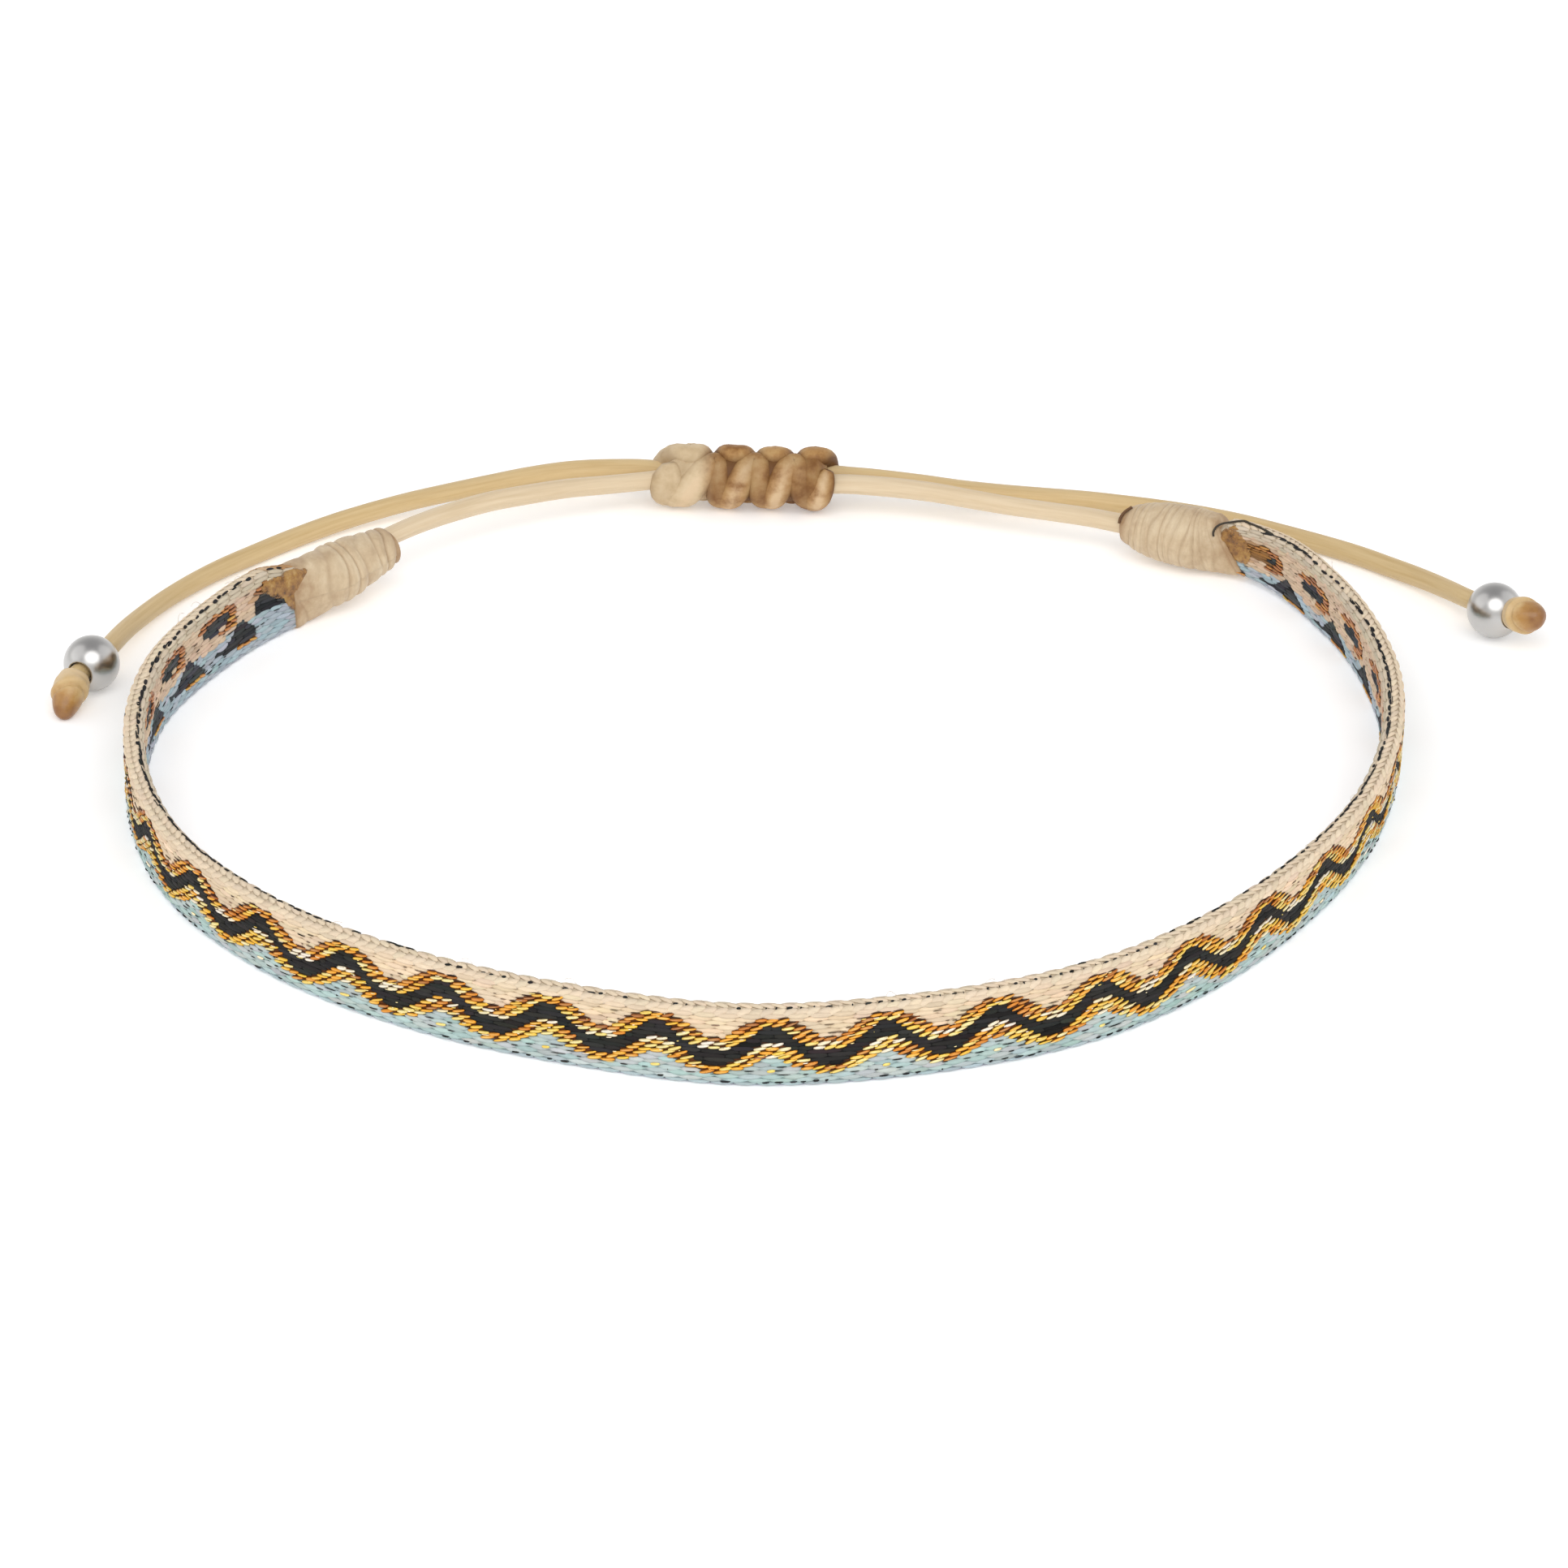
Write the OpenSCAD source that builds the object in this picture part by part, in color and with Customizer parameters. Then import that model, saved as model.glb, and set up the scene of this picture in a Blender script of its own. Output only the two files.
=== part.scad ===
// Friendship bracelet with a sliding cord closure, lying on the lower edge of its band.
// Sizes are in millimetres. The origin is in the middle of the loop, on the surface that
// it lies on. +X runs along the loop's width, +Y from the front of the band to the
// sliding knot, +Z up.

/* [Loop] */
// Mean radius of the loop, to the middle of the band's thickness
loop_r = 31.5; // [28:0.5:40]

/* [Woven band] */
// Height of the band, from edge to edge
band_h = 4.2; // [3.2:0.1:5.5]
// Thickness of the weave
band_t = 1; // [0.8:0.05:1.2]
// Radius of the rolled edges
edge_r = 0.25; // [0.1:0.05:0.38]
// Height that the band is gathered to where it enters a whipping
gathered_h = 2.5; // [1.8:0.1:2.5]
// Thickness of the gathered band
gathered_t = 1.2; // [1:0.1:1.3]
// Length of band over which it is gathered
gather_l = 3; // [2:0.5:8]
// Length of band beside a whipping that keeps its gathered size
collar_l = 0.3; // [0.2:0.1:1]
// Length of band that is tucked into a whipping
tuck_l = 2; // [1.5:0.1:2.4]

/* [Whippings] */
// Diameter of a whipping where the band enters it
whip_d = 3.5; // [3.5:0.1:4.5]
// Length of the left whipping
left_whip_l = 6.4; // [6:0.2:10]
// Length of the right whipping
right_whip_l = 6.1; // [5.7:0.2:10]
// Diameter of the left whipping where the cord leaves it
left_neck_d = 2.2; // [2:0.1:3]
// Diameter of the right whipping where the cord leaves it
right_neck_d = 1.7; // [1.6:0.1:3]
// Taper of the left whipping: 1 is straight, more keeps it thick for longer
left_taper = 1.7; // [1.5:0.1:5]
// Taper of the right whipping
right_taper = 3.5; // [1.5:0.1:5]
// Height by which a whipping is rounded off at its mouth
rim_h = 0.12; // [0.05:0.01:0.15]
// Width of one turn of the wound thread
turn_w = 0.75; // [0.5:0.05:1]
// Height by which a turn of thread stands out
turn_h = 0.1; // [0.05:0.01:0.15]

/* [Cords] */
// Diameter of the waxed cord
cord_d = 1; // [0.8:0.05:1.05]
// Depth of the cord's end inside a whipping
cord_tuck_l = 2.2; // [1.5:0.1:2.4]

/* [Sliding knot] */
// Length of the sliding knot
knot_l = 9.6; // [7:0.2:12]
// Diameter over the knot's lobes
knot_d = 3.45; // [3.2:0.05:4.5]
// Diameter between the lobes
waist_d = 2.85; // [2.7:0.05:3.1]
// Length of the first lobe, at the left end of the sliding knot
first_lobe_l = 2.8; // [2:0.1:4]
// Number of lobes
lobes = 4; // [3:1:6]

/* [Beads and end knots] */
// Diameter of a bead
bead_d = 2.95; // [2.5:0.05:4]
// Diameter of a bead's hole
bead_hole_d = 1.3; // [1.3:0.05:1.6]
// Diameter of an end knot
end_knot_d = 1.95; // [1.7:0.05:2.6]
// Length of an end knot
end_knot_l = 2.6; // [1.8:0.1:3.5]

/* [Clearance] */
// Gap left between pieces that meet
gap = 0.05; // [0.03:0.01:0.08]

/* [Hidden] */

// The loop seen from above, from the left whipping round the front to the right one.
// Each row: angle in degrees, distance from the middle as a share of loop_r, and lean of
// the band in degrees, where more than 0 is outwards at the top.
ROUND = [
    [146, 0.942, 2], [158, 0.978, 1.5], [172, 1.016, 0], [188, 1.029, 0.5],
    [204, 1.034, 1], [220, 1.015, 0.5], [236, 0.989, -1], [252, 0.977, -2],
    [268, 0.991, -3], [284, 0.988, -3], [300, 0.997, -2], [314, 0.992, 0.5],
    [328, 0.989, 4], [342, 1.001, 5.5], [356, 1.016, 3.5], [370, 1.034, -2],
    [386, 1.050, -7], [401.5, 1.046, -8]
];
// Directions in which the whippings point, seen from above, and the left one's rise
LEFT_HEADING = 45;
RIGHT_HEADING = 157;
LEFT_RISE = 3;
// Height of a whipping's axis above the surface where the band enters it
whip_z = whip_d / 2 + gap;
// Sideways and upward place of the cord in the left whipping, from its axis
LEFT_CORD_SHIFT = 0.3;

// Route of the cord from the left whipping through the sliding knot to the right bead.
// The first two points are in the whipping, the last four run through bead and end knot.
LEFT_ROUTE = [
    [-21.82, 19.78, 2.33], [-20.27, 21.33, 2.43], [-18.74, 22.84, 2.45], [-17.1, 24.25, 2.4],
    [-15.0, 25.75, 2.3], [-12.9, 26.9, 2.15], [-10.7, 27.95, 2.0], [-8.4, 28.8, 1.82],
    [-6.0, 29.52, 1.74], [-3.6, 29.54, 2.14], [-1.1, 29.8, 2.3], [1.3, 30.06, 2.14],
    [3.7, 30.08, 1.74], [5.8, 29.75, 1.7], [8.3, 29.3, 1.6], [10.5, 28.85, 1.48],
    [12.7, 28.6, 1.35], [14.9, 28.5, 1.2], [17.1, 28.4, 1.05], [19.3, 28.1, 0.92],
    [21.5, 27.75, 0.78], [23.7, 27.25, 0.66], [25.8, 26.5, 0.58], [27.9, 25.4, 0.54],
    [29.8, 24.25, 0.53], [31.6, 23.0, 0.53], [33.2, 21.6, 0.58], [34.7, 20.1, 0.72],
    [36.0, 18.35, 1.0], [37.1, 16.6, 1.3], [38.4, 14.9, 1.5], [39.4, 13.87, 1.8],
    [40.3, 12.87, 2.15]
];
// Route of the cord from the right whipping through the sliding knot to the left bead
RIGHT_ROUTE = [
    [21.05, 23.37, 1.8], [19.0, 24.24, 1.8], [17.3, 24.95, 1.8], [15.4, 25.55, 1.8],
    [13.2, 26.25, 1.8], [11.0, 27.1, 1.8], [8.8, 27.95, 1.8], [6.3, 28.6, 1.77],
    [3.7, 28.96, 1.74], [1.3, 29.26, 1.34], [-1.1, 29.8, 1.18], [-3.6, 30.34, 1.34],
    [-6.0, 30.64, 1.74], [-8.3, 30.85, 1.7], [-10.6, 30.8, 1.62], [-12.8, 30.4, 1.5],
    [-15.0, 29.85, 1.3], [-17.1, 29.25, 1.1], [-19.2, 28.55, 0.92], [-21.3, 27.6, 0.77],
    [-23.4, 26.4, 0.65], [-25.4, 24.9, 0.57], [-27.3, 23.2, 0.53], [-29.2, 21.35, 0.53],
    [-30.8, 19.45, 0.55], [-32.1, 17.45, 0.62], [-33.2, 15.1, 0.8], [-33.9, 12.95, 1.1],
    [-34.45, 10.85, 1.4], [-35.2, 9.0, 1.5], [-36.05, 7.45, 1.38], [-36.35, 6.25, 0.75]
];
// Points of both routes between which they run in the sliding knot
KNOT_FROM = 8;
KNOT_TO = 12;
// The routes are drawn for this mean radius and grow with the loop
DRAWN_R = 31.5;
CORD_SIDES = 8;
BAND_STEPS = 5;
CORNER_STEPS = 4;
LOBE_STEPS = 8;
// Fullness of the lobes of the sliding knot: 1 is a half wave, less is rounder
LOBE_FULLNESS = 0.7;
// Clear radius that two cords need to turn round each other, in cord diameters
PAIR_ROOM = 1.12;

// Clear radius for one cord, and for the pair that turns half round in the sliding knot
cord_hole_r = cord_d / 2 + 2 * gap;
pair_hole_r = PAIR_ROOM * cord_d;
// Room beyond the end of the band and of a cord in their pockets
end_gap = 4 * gap;

// Point of the loop for one row of the table
function loop_point(row) = loop_r * row[1] * [cos(row[0]), sin(row[0])];
function heading(a) = [cos(a), sin(a)];
function mix(a, b, t) = a + (b - a) * t;
function smooth(t) = let (u = max(0, min(1, t))) u * u * (3 - 2 * u);

// Hermite curve from a to b with end slopes da and db
function hermite(a, da, b, db, t) =
    (2 * t ^ 3 - 3 * t ^ 2 + 1) * a + (t ^ 3 - 2 * t ^ 2 + t) * da
    + (3 * t ^ 2 - 2 * t ^ 3) * b + (t ^ 3 - t ^ 2) * db;

left_mouth = loop_point(ROUND[0]);
right_mouth = loop_point(ROUND[len(ROUND) - 1]);

// Slope of the loop at row i, for each degree
function slope(i) =
    let (n = len(ROUND) - 1)
    i == 0 ? -heading(LEFT_HEADING) * loop_r * PI / 180
    : i == n ? heading(RIGHT_HEADING) * loop_r * PI / 180
    : (loop_point(ROUND[i + 1]) - loop_point(ROUND[i - 1])) / (ROUND[i + 1][0] - ROUND[i - 1][0]);

// Middle line of the band, seen from above, with its tucked ends
band_line = concat(
    [left_mouth + heading(LEFT_HEADING) * tuck_l],
    [for (i = [0 : len(ROUND) - 2], k = [0 : BAND_STEPS - 1])
        let (span = ROUND[i + 1][0] - ROUND[i][0])
        hermite(loop_point(ROUND[i]), slope(i) * span,
                loop_point(ROUND[i + 1]), slope(i + 1) * span, k / BAND_STEPS)],
    [right_mouth],
    [right_mouth + heading(RIGHT_HEADING) * tuck_l]
);

// Lean of the band at each point of its middle line, in degrees
band_lean = concat(
    [ROUND[0][2]],
    [for (i = [0 : len(ROUND) - 2], k = [0 : BAND_STEPS - 1])
        mix(ROUND[i][2], ROUND[i + 1][2], k / BAND_STEPS)],
    [ROUND[len(ROUND) - 1][2], ROUND[len(ROUND) - 1][2]]
);

// Length along a list of points up to point i
function run_to(line, i, k = 0) = k >= i ? 0 : norm(line[k + 1] - line[k]) + run_to(line, i, k + 1);
function side_of(line, i) =
    let (n = len(line) - 1, d = line[min(n, i + 1)] - line[max(0, i - 1)])
    [d[1], -d[0]] / norm(d);

// Rounded rectangle w wide and h high about the origin, as a list of points
function rounded(w, h, r) = [
    for (q = [0 : 3], k = [0 : CORNER_STEPS - 1])
        let (a = 90 * (q + k / (CORNER_STEPS - 1)), sx = (q == 0 || q == 3) ? 1 : -1, sy = q < 2 ? 1 : -1)
        [sx * (w / 2 - r) + r * cos(a), sy * (h / 2 - r) + r * sin(a)]
];

// Solid swept through rings of points, each ring with the same number of points
module skin(rings) {
    m = len(rings[0]);
    n = len(rings);
    polyhedron(
        points = [for (ring = rings, p = ring) p],
        faces = concat(
            [[for (j = [m - 1 : -1 : 0]) j]],
            [for (i = [0 : n - 2], j = [0 : m - 1], half = [0 : 1])
                let (a = i * m + j, b = i * m + (j + 1) % m)
                half == 0 ? [a, b, b + m] : [a, b + m, a + m]],
            [[for (j = [0 : m - 1]) (n - 1) * m + j]]
        )
    );
}

// Share of the band's full size at distance s outside the nearer whipping
function full_share(s) = smooth((s - collar_l) / gather_l);

// Height of a whipping's axis at distance s past its mouth
function axis_z(s, rise) = whip_z + s * tan(rise);

module woven_band() {
    n = len(band_line) - 1;
    total = run_to(band_line, n);
    rings = [for (i = [0 : n])
        let (
            s = run_to(band_line, i),
            left = s < total / 2,
            out = (left ? s : total - s) - tuck_l,
            g = full_share(out),
            w = mix(gathered_t, band_t, g),
            h = mix(gathered_h, band_h, g),
            z = mix(axis_z(max(0, -out), left ? LEFT_RISE : 0), h / 2, g),
            side = side_of(band_line, i)
        )
        // The section leans over sideways, so the edge that it rests on stays level
        [for (p = rounded(w, h, edge_r))
            let (across = p[0] + p[1] * tan(g * band_lean[i]))
            [band_line[i][0] + side[0] * across, band_line[i][1] + side[1] * across, z + p[1]]]];
    color("tan") skin(rings);
}

// Outline of a whipping of length l, narrowing to neck_d, with one bulge a turn
function barrel(l, neck_d, taper) =
    let (turns = round(l / turn_w), steps = 4 * turns)
    concat(
        [[0, 0]],
        [for (k = [0 : steps])
            let (
                t = k / steps,
                bulge = turn_h * (abs(sin(180 * t * turns)) - 1),
                rim = rim_h * (1 - smooth(t * turns))
            )
            [mix(whip_d / 2, neck_d / 2, t ^ taper) + bulge - rim, t * l]],
        [[0, l]]
    );

// Whipping with its mouth at the origin, along +Z: a pocket for the band, a hole for the cord
module whipping(l, neck_d, taper, shift) {
    difference() {
        rotate_extrude($fn = 48) polygon(barrel(l, neck_d, taper));
        translate([0, 0, -gap])
            linear_extrude(height = tuck_l + end_gap + gap)
                square([gathered_h + 2 * gap, gathered_t + 2 * gap], center = true);
        translate([-shift, shift, l - cord_tuck_l - end_gap])
            cylinder(h = cord_tuck_l + end_gap + gap, r = cord_hole_r, $fn = 32);
    }
}

module left_whipping() {
    color("burlywood")
        translate([left_mouth[0], left_mouth[1], whip_z])
            rotate([0, 90 - LEFT_RISE, LEFT_HEADING])
                whipping(left_whip_l, left_neck_d, left_taper, LEFT_CORD_SHIFT);
}

module right_whipping() {
    color("burlywood")
        translate([right_mouth[0], right_mouth[1], whip_z])
            rotate([0, 90, RIGHT_HEADING])
                whipping(right_whip_l, right_neck_d, right_taper, 0);
}

// A route's points at the size of this loop
function at_size(route) = [for (p = route) [p[0] * loop_r / DRAWN_R, p[1] * loop_r / DRAWN_R, p[2]]];
left_line = at_size(LEFT_ROUTE);
right_line = at_size(RIGHT_ROUTE);

// Tube of the cord's diameter along a line of points
module cord(line) {
    n = len(line) - 1;
    rings = [for (i = [0 : n])
        let (
            d = line[min(n, i + 1)] - line[max(0, i - 1)],
            ahead = d / norm(d),
            level = cross(ahead, [0, 0, 1]),
            side = level / norm(level),
            up = cross(side, ahead)
        )
        [for (k = [0 : CORD_SIDES - 1])
            let (a = 360 * (k + 0.5) / CORD_SIDES)
            line[i] + cord_d / 2 * (cos(a) * side + sin(a) * up)]];
    skin(rings);
}

module left_cord() {
    color("wheat") cord(left_line);
}

module right_cord() {
    color("wheat") cord(right_line);
}

// Turns a shape that lies along +Z to point from a to b, with its start at a
module along(a, b) {
    d = b - a;
    translate(a)
        rotate([0, acos(d[2] / norm(d)), atan2(d[1], d[0])])
            children();
}

// The knot lies between the points where the two cords enter and leave it
knot_left = (left_line[KNOT_FROM] + right_line[KNOT_TO]) / 2;
knot_right = (left_line[KNOT_TO] + right_line[KNOT_FROM]) / 2;

// Ends of the lobes along the sliding knot
lobe_ends = [for (k = [0 : lobes])
    k == 0 ? 0 : mix(first_lobe_l, knot_l, (k - 1) / (lobes - 1))];

module sliding_knot() {
    middle = (knot_left + knot_right) / 2;
    ahead = (knot_right - knot_left) / norm(knot_right - knot_left);
    start = middle - ahead * knot_l / 2;
    color("peru")
        along(start, start + ahead)
            rotate_extrude($fn = 48)
                polygon(concat(
                    [[pair_hole_r, 0]],
                    [for (k = [0 : lobes - 1], j = [(k == 0 ? 0 : 1) : LOBE_STEPS])
                        let (t = j / LOBE_STEPS)
                        [mix(waist_d, knot_d, sin(180 * t) ^ LOBE_FULLNESS) / 2,
                         mix(lobe_ends[k], lobe_ends[k + 1], t)]],
                    [[pair_hole_r, knot_l]]
                ));
}

// Bead drilled along the cord, with its middle at the route's third point from the end
module bead(line) {
    n = len(line) - 1;
    a = line[n - 3];
    b = line[n - 1];
    centre = line[n - 2];
    color("silver")
        along(centre, centre + b - a)
            difference() {
                sphere(d = bead_d, $fn = 64);
                cylinder(h = bead_d + 1, d = bead_hole_d, center = true, $fn = 32);
            }
}

module left_bead() {
    bead(right_line);
}

module right_bead() {
    bead(left_line);
}

// Pear-shaped knot on the cord's end, with the end sealed inside it
module end_knot(line) {
    n = len(line) - 1;
    a = line[n - 1];
    b = line[n];
    inside = norm(b - a);
    // Share of the length, share of the radius
    outline = [[0, 0.72], [0.08, 0.9], [0.25, 1], [0.45, 0.97], [0.65, 0.84], [0.82, 0.66],
               [0.93, 0.45], [1, 0.2]];
    color("sandybrown")
        along(a, b)
            difference() {
                rotate_extrude($fn = 32)
                    polygon(concat(
                        [[0, 0]],
                        [for (p = outline) [p[1] * end_knot_d / 2, p[0] * end_knot_l]],
                        [[0, end_knot_l]]
                    ));
                translate([0, 0, -gap]) cylinder(h = inside + 2 * gap, r = cord_hole_r, $fn = 32);
            }
}

module left_end_knot() {
    end_knot(right_line);
}

module right_end_knot() {
    end_knot(left_line);
}

woven_band();
left_whipping();
right_whipping();
sliding_knot();
left_cord();
right_cord();
left_bead();
right_bead();
left_end_knot();
right_end_knot();
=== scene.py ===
import math

import bpy
import numpy as np
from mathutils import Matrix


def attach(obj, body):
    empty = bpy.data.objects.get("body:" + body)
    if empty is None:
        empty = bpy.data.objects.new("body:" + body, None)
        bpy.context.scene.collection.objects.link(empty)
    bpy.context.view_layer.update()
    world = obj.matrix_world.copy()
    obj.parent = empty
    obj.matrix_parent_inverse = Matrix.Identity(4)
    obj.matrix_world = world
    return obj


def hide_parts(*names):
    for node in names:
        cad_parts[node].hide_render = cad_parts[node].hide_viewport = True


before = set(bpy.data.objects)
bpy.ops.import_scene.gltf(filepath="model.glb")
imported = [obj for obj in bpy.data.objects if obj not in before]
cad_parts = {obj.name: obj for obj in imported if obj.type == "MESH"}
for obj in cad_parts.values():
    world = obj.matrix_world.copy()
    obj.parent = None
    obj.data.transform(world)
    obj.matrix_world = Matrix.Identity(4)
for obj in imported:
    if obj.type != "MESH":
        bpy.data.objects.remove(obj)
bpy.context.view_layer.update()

# Studio: a pale floor under three large oval softboxes, one in front and one at each side,
# with a bright even surround. The camera looks down at the front of the band from about
# 29 degrees.
mm = 0.001
camera_tilt = math.radians(28.95)
camera_distance = 500 * mm
camera_aim = np.array([0.93, -1.32, 0]) * mm
focal_length = 223.6
sensor_width = 36

camera_data = bpy.data.cameras.new("camera")
camera_data.sensor_width = sensor_width
camera_data.lens = focal_length
camera_data.clip_start = 10 * mm
camera = bpy.data.objects.new("camera", camera_data)
back = np.array([0, -math.cos(camera_tilt), math.sin(camera_tilt)])
camera.location = camera_aim + back * camera_distance
camera.rotation_euler = (math.pi / 2 - camera_tilt, 0, 0)
bpy.context.scene.collection.objects.link(camera)
bpy.context.scene.camera = camera


def softbox(name, place, width, depth, power):
    """White oval area light of that size at a place, facing the middle of the loop."""
    data = bpy.data.lights.new(name, "AREA")
    data.shape = "ELLIPSE"
    data.size, data.size_y = width, depth
    data.energy = power
    light = bpy.data.objects.new(name, data)
    light.location = place
    towards = -np.array(place)
    level = math.hypot(towards[0], towards[1])
    light.rotation_euler = (math.atan2(level, -towards[2]), 0, math.atan2(-towards[0], towards[1]))
    bpy.context.scene.collection.objects.link(light)


softbox("softbox_front", (0.02, -0.42, 0.55), width=0.78, depth=0.66, power=2.6)
softbox("softbox_left", (-0.75, 0.05, 0.6), width=1.05, depth=1.05, power=1.5)
softbox("softbox_right", (0.75, 0.15, 0.6), width=1.05, depth=1.05, power=1.2)


class Socket:
    """One output of a material's nodes. Sums written with it add Math nodes."""

    def __init__(self, tree, output=None):
        self.tree, self.output = tree, output

    def node(self, kind, inputs, out=0, **settings):
        """Adds a node of that kind: its settings first, then the values or links of its sockets."""
        made = self.tree.nodes.new("ShaderNode" + kind)
        stops = settings.pop("stops", ())
        for key, value in settings.items():
            setattr(made, key, value)
        if stops:
            elements = made.color_ramp.elements
            for element, (place, colour) in zip(elements, (stops[0], stops[-1])):
                element.position, element.color = place, (*colour, 1)
            for place, colour in stops[1:-1]:
                elements.new(place).color = (*colour, 1)
        for key, value in inputs.items():
            if isinstance(value, Socket):
                self.tree.links.new(value.output, made.inputs[key])
            else:
                made.inputs[key].default_value = value
        return Socket(self.tree, made.outputs[out])

    def math(self, operation, *others):
        return self.node("Math", dict(enumerate((self,) + others)), operation=operation)

    def __add__(self, other):
        return self.math("ADD", other)

    def __sub__(self, other):
        return self.math("SUBTRACT", other)

    def __mul__(self, other):
        return self.math("MULTIPLY", other)

    def __rsub__(self, other):
        return self.node("Math", {0: other, 1: self}, operation="SUBTRACT")

    __radd__ = __add__
    __rmul__ = __mul__

    def limited(self, low, high):
        """This, but no more than high and no less than low."""
        return self.math("MINIMUM", high).math("MAXIMUM", low)

    def mix(self, low, high):
        """Colour low where this is 0 and high where it is 1."""
        return self.node("Mix", {0: self, 6: low, 7: high}, 2, data_type="RGBA")


def material(name, build, **constants):
    """Material whose shader has the constants on its own sockets, and the links that build gives."""
    made = bpy.data.materials.new(name)
    made.use_nodes = True
    tree = made.node_tree
    shader = tree.nodes["Principled BSDF"]
    for key, value in constants.items():
        shader.inputs[key.replace("_", " ")].default_value = value
    for key, socket in build(Socket(tree)).items():
        tree.links.new(socket.output, shader.inputs[key])
    return made


def object_place(start):
    """Place of a point of the surface in metres, in the piece's own coordinates."""
    return start.node("TexCoord", {}, 3)


def clouds(place, scale, detail, roughness=0.5):
    """Noise from 0 to 1 that varies with the place."""
    sockets = {"Vector": place, "Scale": scale, "Detail": detail, "Roughness": roughness}
    return place.node("TexNoise", sockets)


def shades(value, *stops):
    """Colours run together between the stops, each of which is a value and its colour."""
    return value.node("ValToRGB", {0: value}, stops=stops)


def paper_finish(start):
    """Pale paper with a barely visible mottle."""
    mottle = clouds(object_place(start), 40.0, 3.0)
    return {"Base Color": mottle.mix((0.93, 0.93, 0.93, 1), (0.95, 0.95, 0.95, 1))}


floor_half = 3.0
corners = [(-floor_half, -floor_half, 0), (floor_half, -floor_half, 0),
           (floor_half, floor_half, 0), (-floor_half, floor_half, 0)]
floor_mesh = bpy.data.meshes.new("floor")
floor_mesh.from_pydata(corners, [], [(0, 1, 2, 3)])
floor_mesh.materials.append(material("pale_paper", paper_finish, Roughness=0.9,
                                     Emission_Strength=0.22, Emission_Color=(1, 1, 1, 1)))
floor = bpy.data.objects.new("floor", floor_mesh)
bpy.context.scene.collection.objects.link(floor)

world = bpy.data.worlds.new("surround")
world.use_nodes = True
bpy.context.scene.world = world
sky = Socket(world.node_tree)
height = sky.node("SeparateXYZ", {0: sky.node("TexCoord", {}, 0)}, 2)
glow = shades(height, (0.0, (1.0, 1.0, 1.0)), (0.25, (1.0, 1.0, 1.0)),
              (0.6, (0.62, 0.62, 0.63)), (1.0, (0.45, 0.45, 0.46)))
surround = world.node_tree.nodes["Background"]
world.node_tree.links.new(glow.output, surround.inputs["Color"])
surround.inputs["Strength"].default_value = 0.86
bpy.context.scene.view_settings.view_transform = "Standard"

# Waxed cords: two polyester cords, 1 mm thick. Each leaves a whipping, runs through the
# sliding knot beside the other, and goes round outside the band to the bead on the far side.
CORD_D = 1.0 * mm
CORD_SIDES = 18
CORD_STEPS = 10
# Points of both routes between which they run in the sliding knot
KNOT_FROM = 8
KNOT_TO = 12
LEFT_ROUTE = mm * np.array([
    [-21.82, 19.78, 2.33], [-20.27, 21.33, 2.43], [-18.74, 22.84, 2.45], [-17.1, 24.25, 2.4],
    [-15.0, 25.75, 2.3], [-12.9, 26.9, 2.15], [-10.7, 27.95, 2.0], [-8.4, 28.8, 1.82],
    [-6.0, 29.52, 1.74], [-3.6, 29.54, 2.14], [-1.1, 29.8, 2.3], [1.3, 30.06, 2.14],
    [3.7, 30.08, 1.74], [5.8, 29.75, 1.7], [8.3, 29.3, 1.6], [10.5, 28.85, 1.48],
    [12.7, 28.6, 1.35], [14.9, 28.5, 1.2], [17.1, 28.4, 1.05], [19.3, 28.1, 0.92],
    [21.5, 27.75, 0.78], [23.7, 27.25, 0.66], [25.8, 26.5, 0.58], [27.9, 25.4, 0.54],
    [29.8, 24.25, 0.53], [31.6, 23.0, 0.53], [33.2, 21.6, 0.58], [34.7, 20.1, 0.72],
    [36.0, 18.35, 1.0], [37.1, 16.6, 1.3], [38.4, 14.9, 1.5], [39.4, 13.87, 1.8],
    [40.3, 12.87, 2.15]])
RIGHT_ROUTE = mm * np.array([
    [21.05, 23.37, 1.8], [19.0, 24.24, 1.8], [17.3, 24.95, 1.8], [15.4, 25.55, 1.8],
    [13.2, 26.25, 1.8], [11.0, 27.1, 1.8], [8.8, 27.95, 1.8], [6.3, 28.6, 1.77],
    [3.7, 28.96, 1.74], [1.3, 29.26, 1.34], [-1.1, 29.8, 1.18], [-3.6, 30.34, 1.34],
    [-6.0, 30.64, 1.74], [-8.3, 30.85, 1.7], [-10.6, 30.8, 1.62], [-12.8, 30.4, 1.5],
    [-15.0, 29.85, 1.3], [-17.1, 29.25, 1.1], [-19.2, 28.55, 0.92], [-21.3, 27.6, 0.77],
    [-23.4, 26.4, 0.65], [-25.4, 24.9, 0.57], [-27.3, 23.2, 0.53], [-29.2, 21.35, 0.53],
    [-30.8, 19.45, 0.55], [-32.1, 17.45, 0.62], [-33.2, 15.1, 0.8], [-33.9, 12.95, 1.1],
    [-34.45, 10.85, 1.4], [-35.2, 9.0, 1.5], [-36.05, 7.45, 1.38], [-36.35, 6.25, 0.75]])


def cubics(a, b, da, db, steps):
    """Points at even shares of the cubics from each a to each b with end slopes da and db."""
    t = (np.arange(steps) / steps)[None, :, None]
    line = (2 * t**3 - 3 * t**2 + 1) * a[:, None] + (t**3 - 2 * t**2 + t) * da[:, None]
    line = line + (3 * t**2 - 2 * t**3) * b[:, None] + (t**3 - t**2) * db[:, None]
    return np.vstack([line.reshape(-1, a.shape[1]), b[-1:]])


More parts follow.
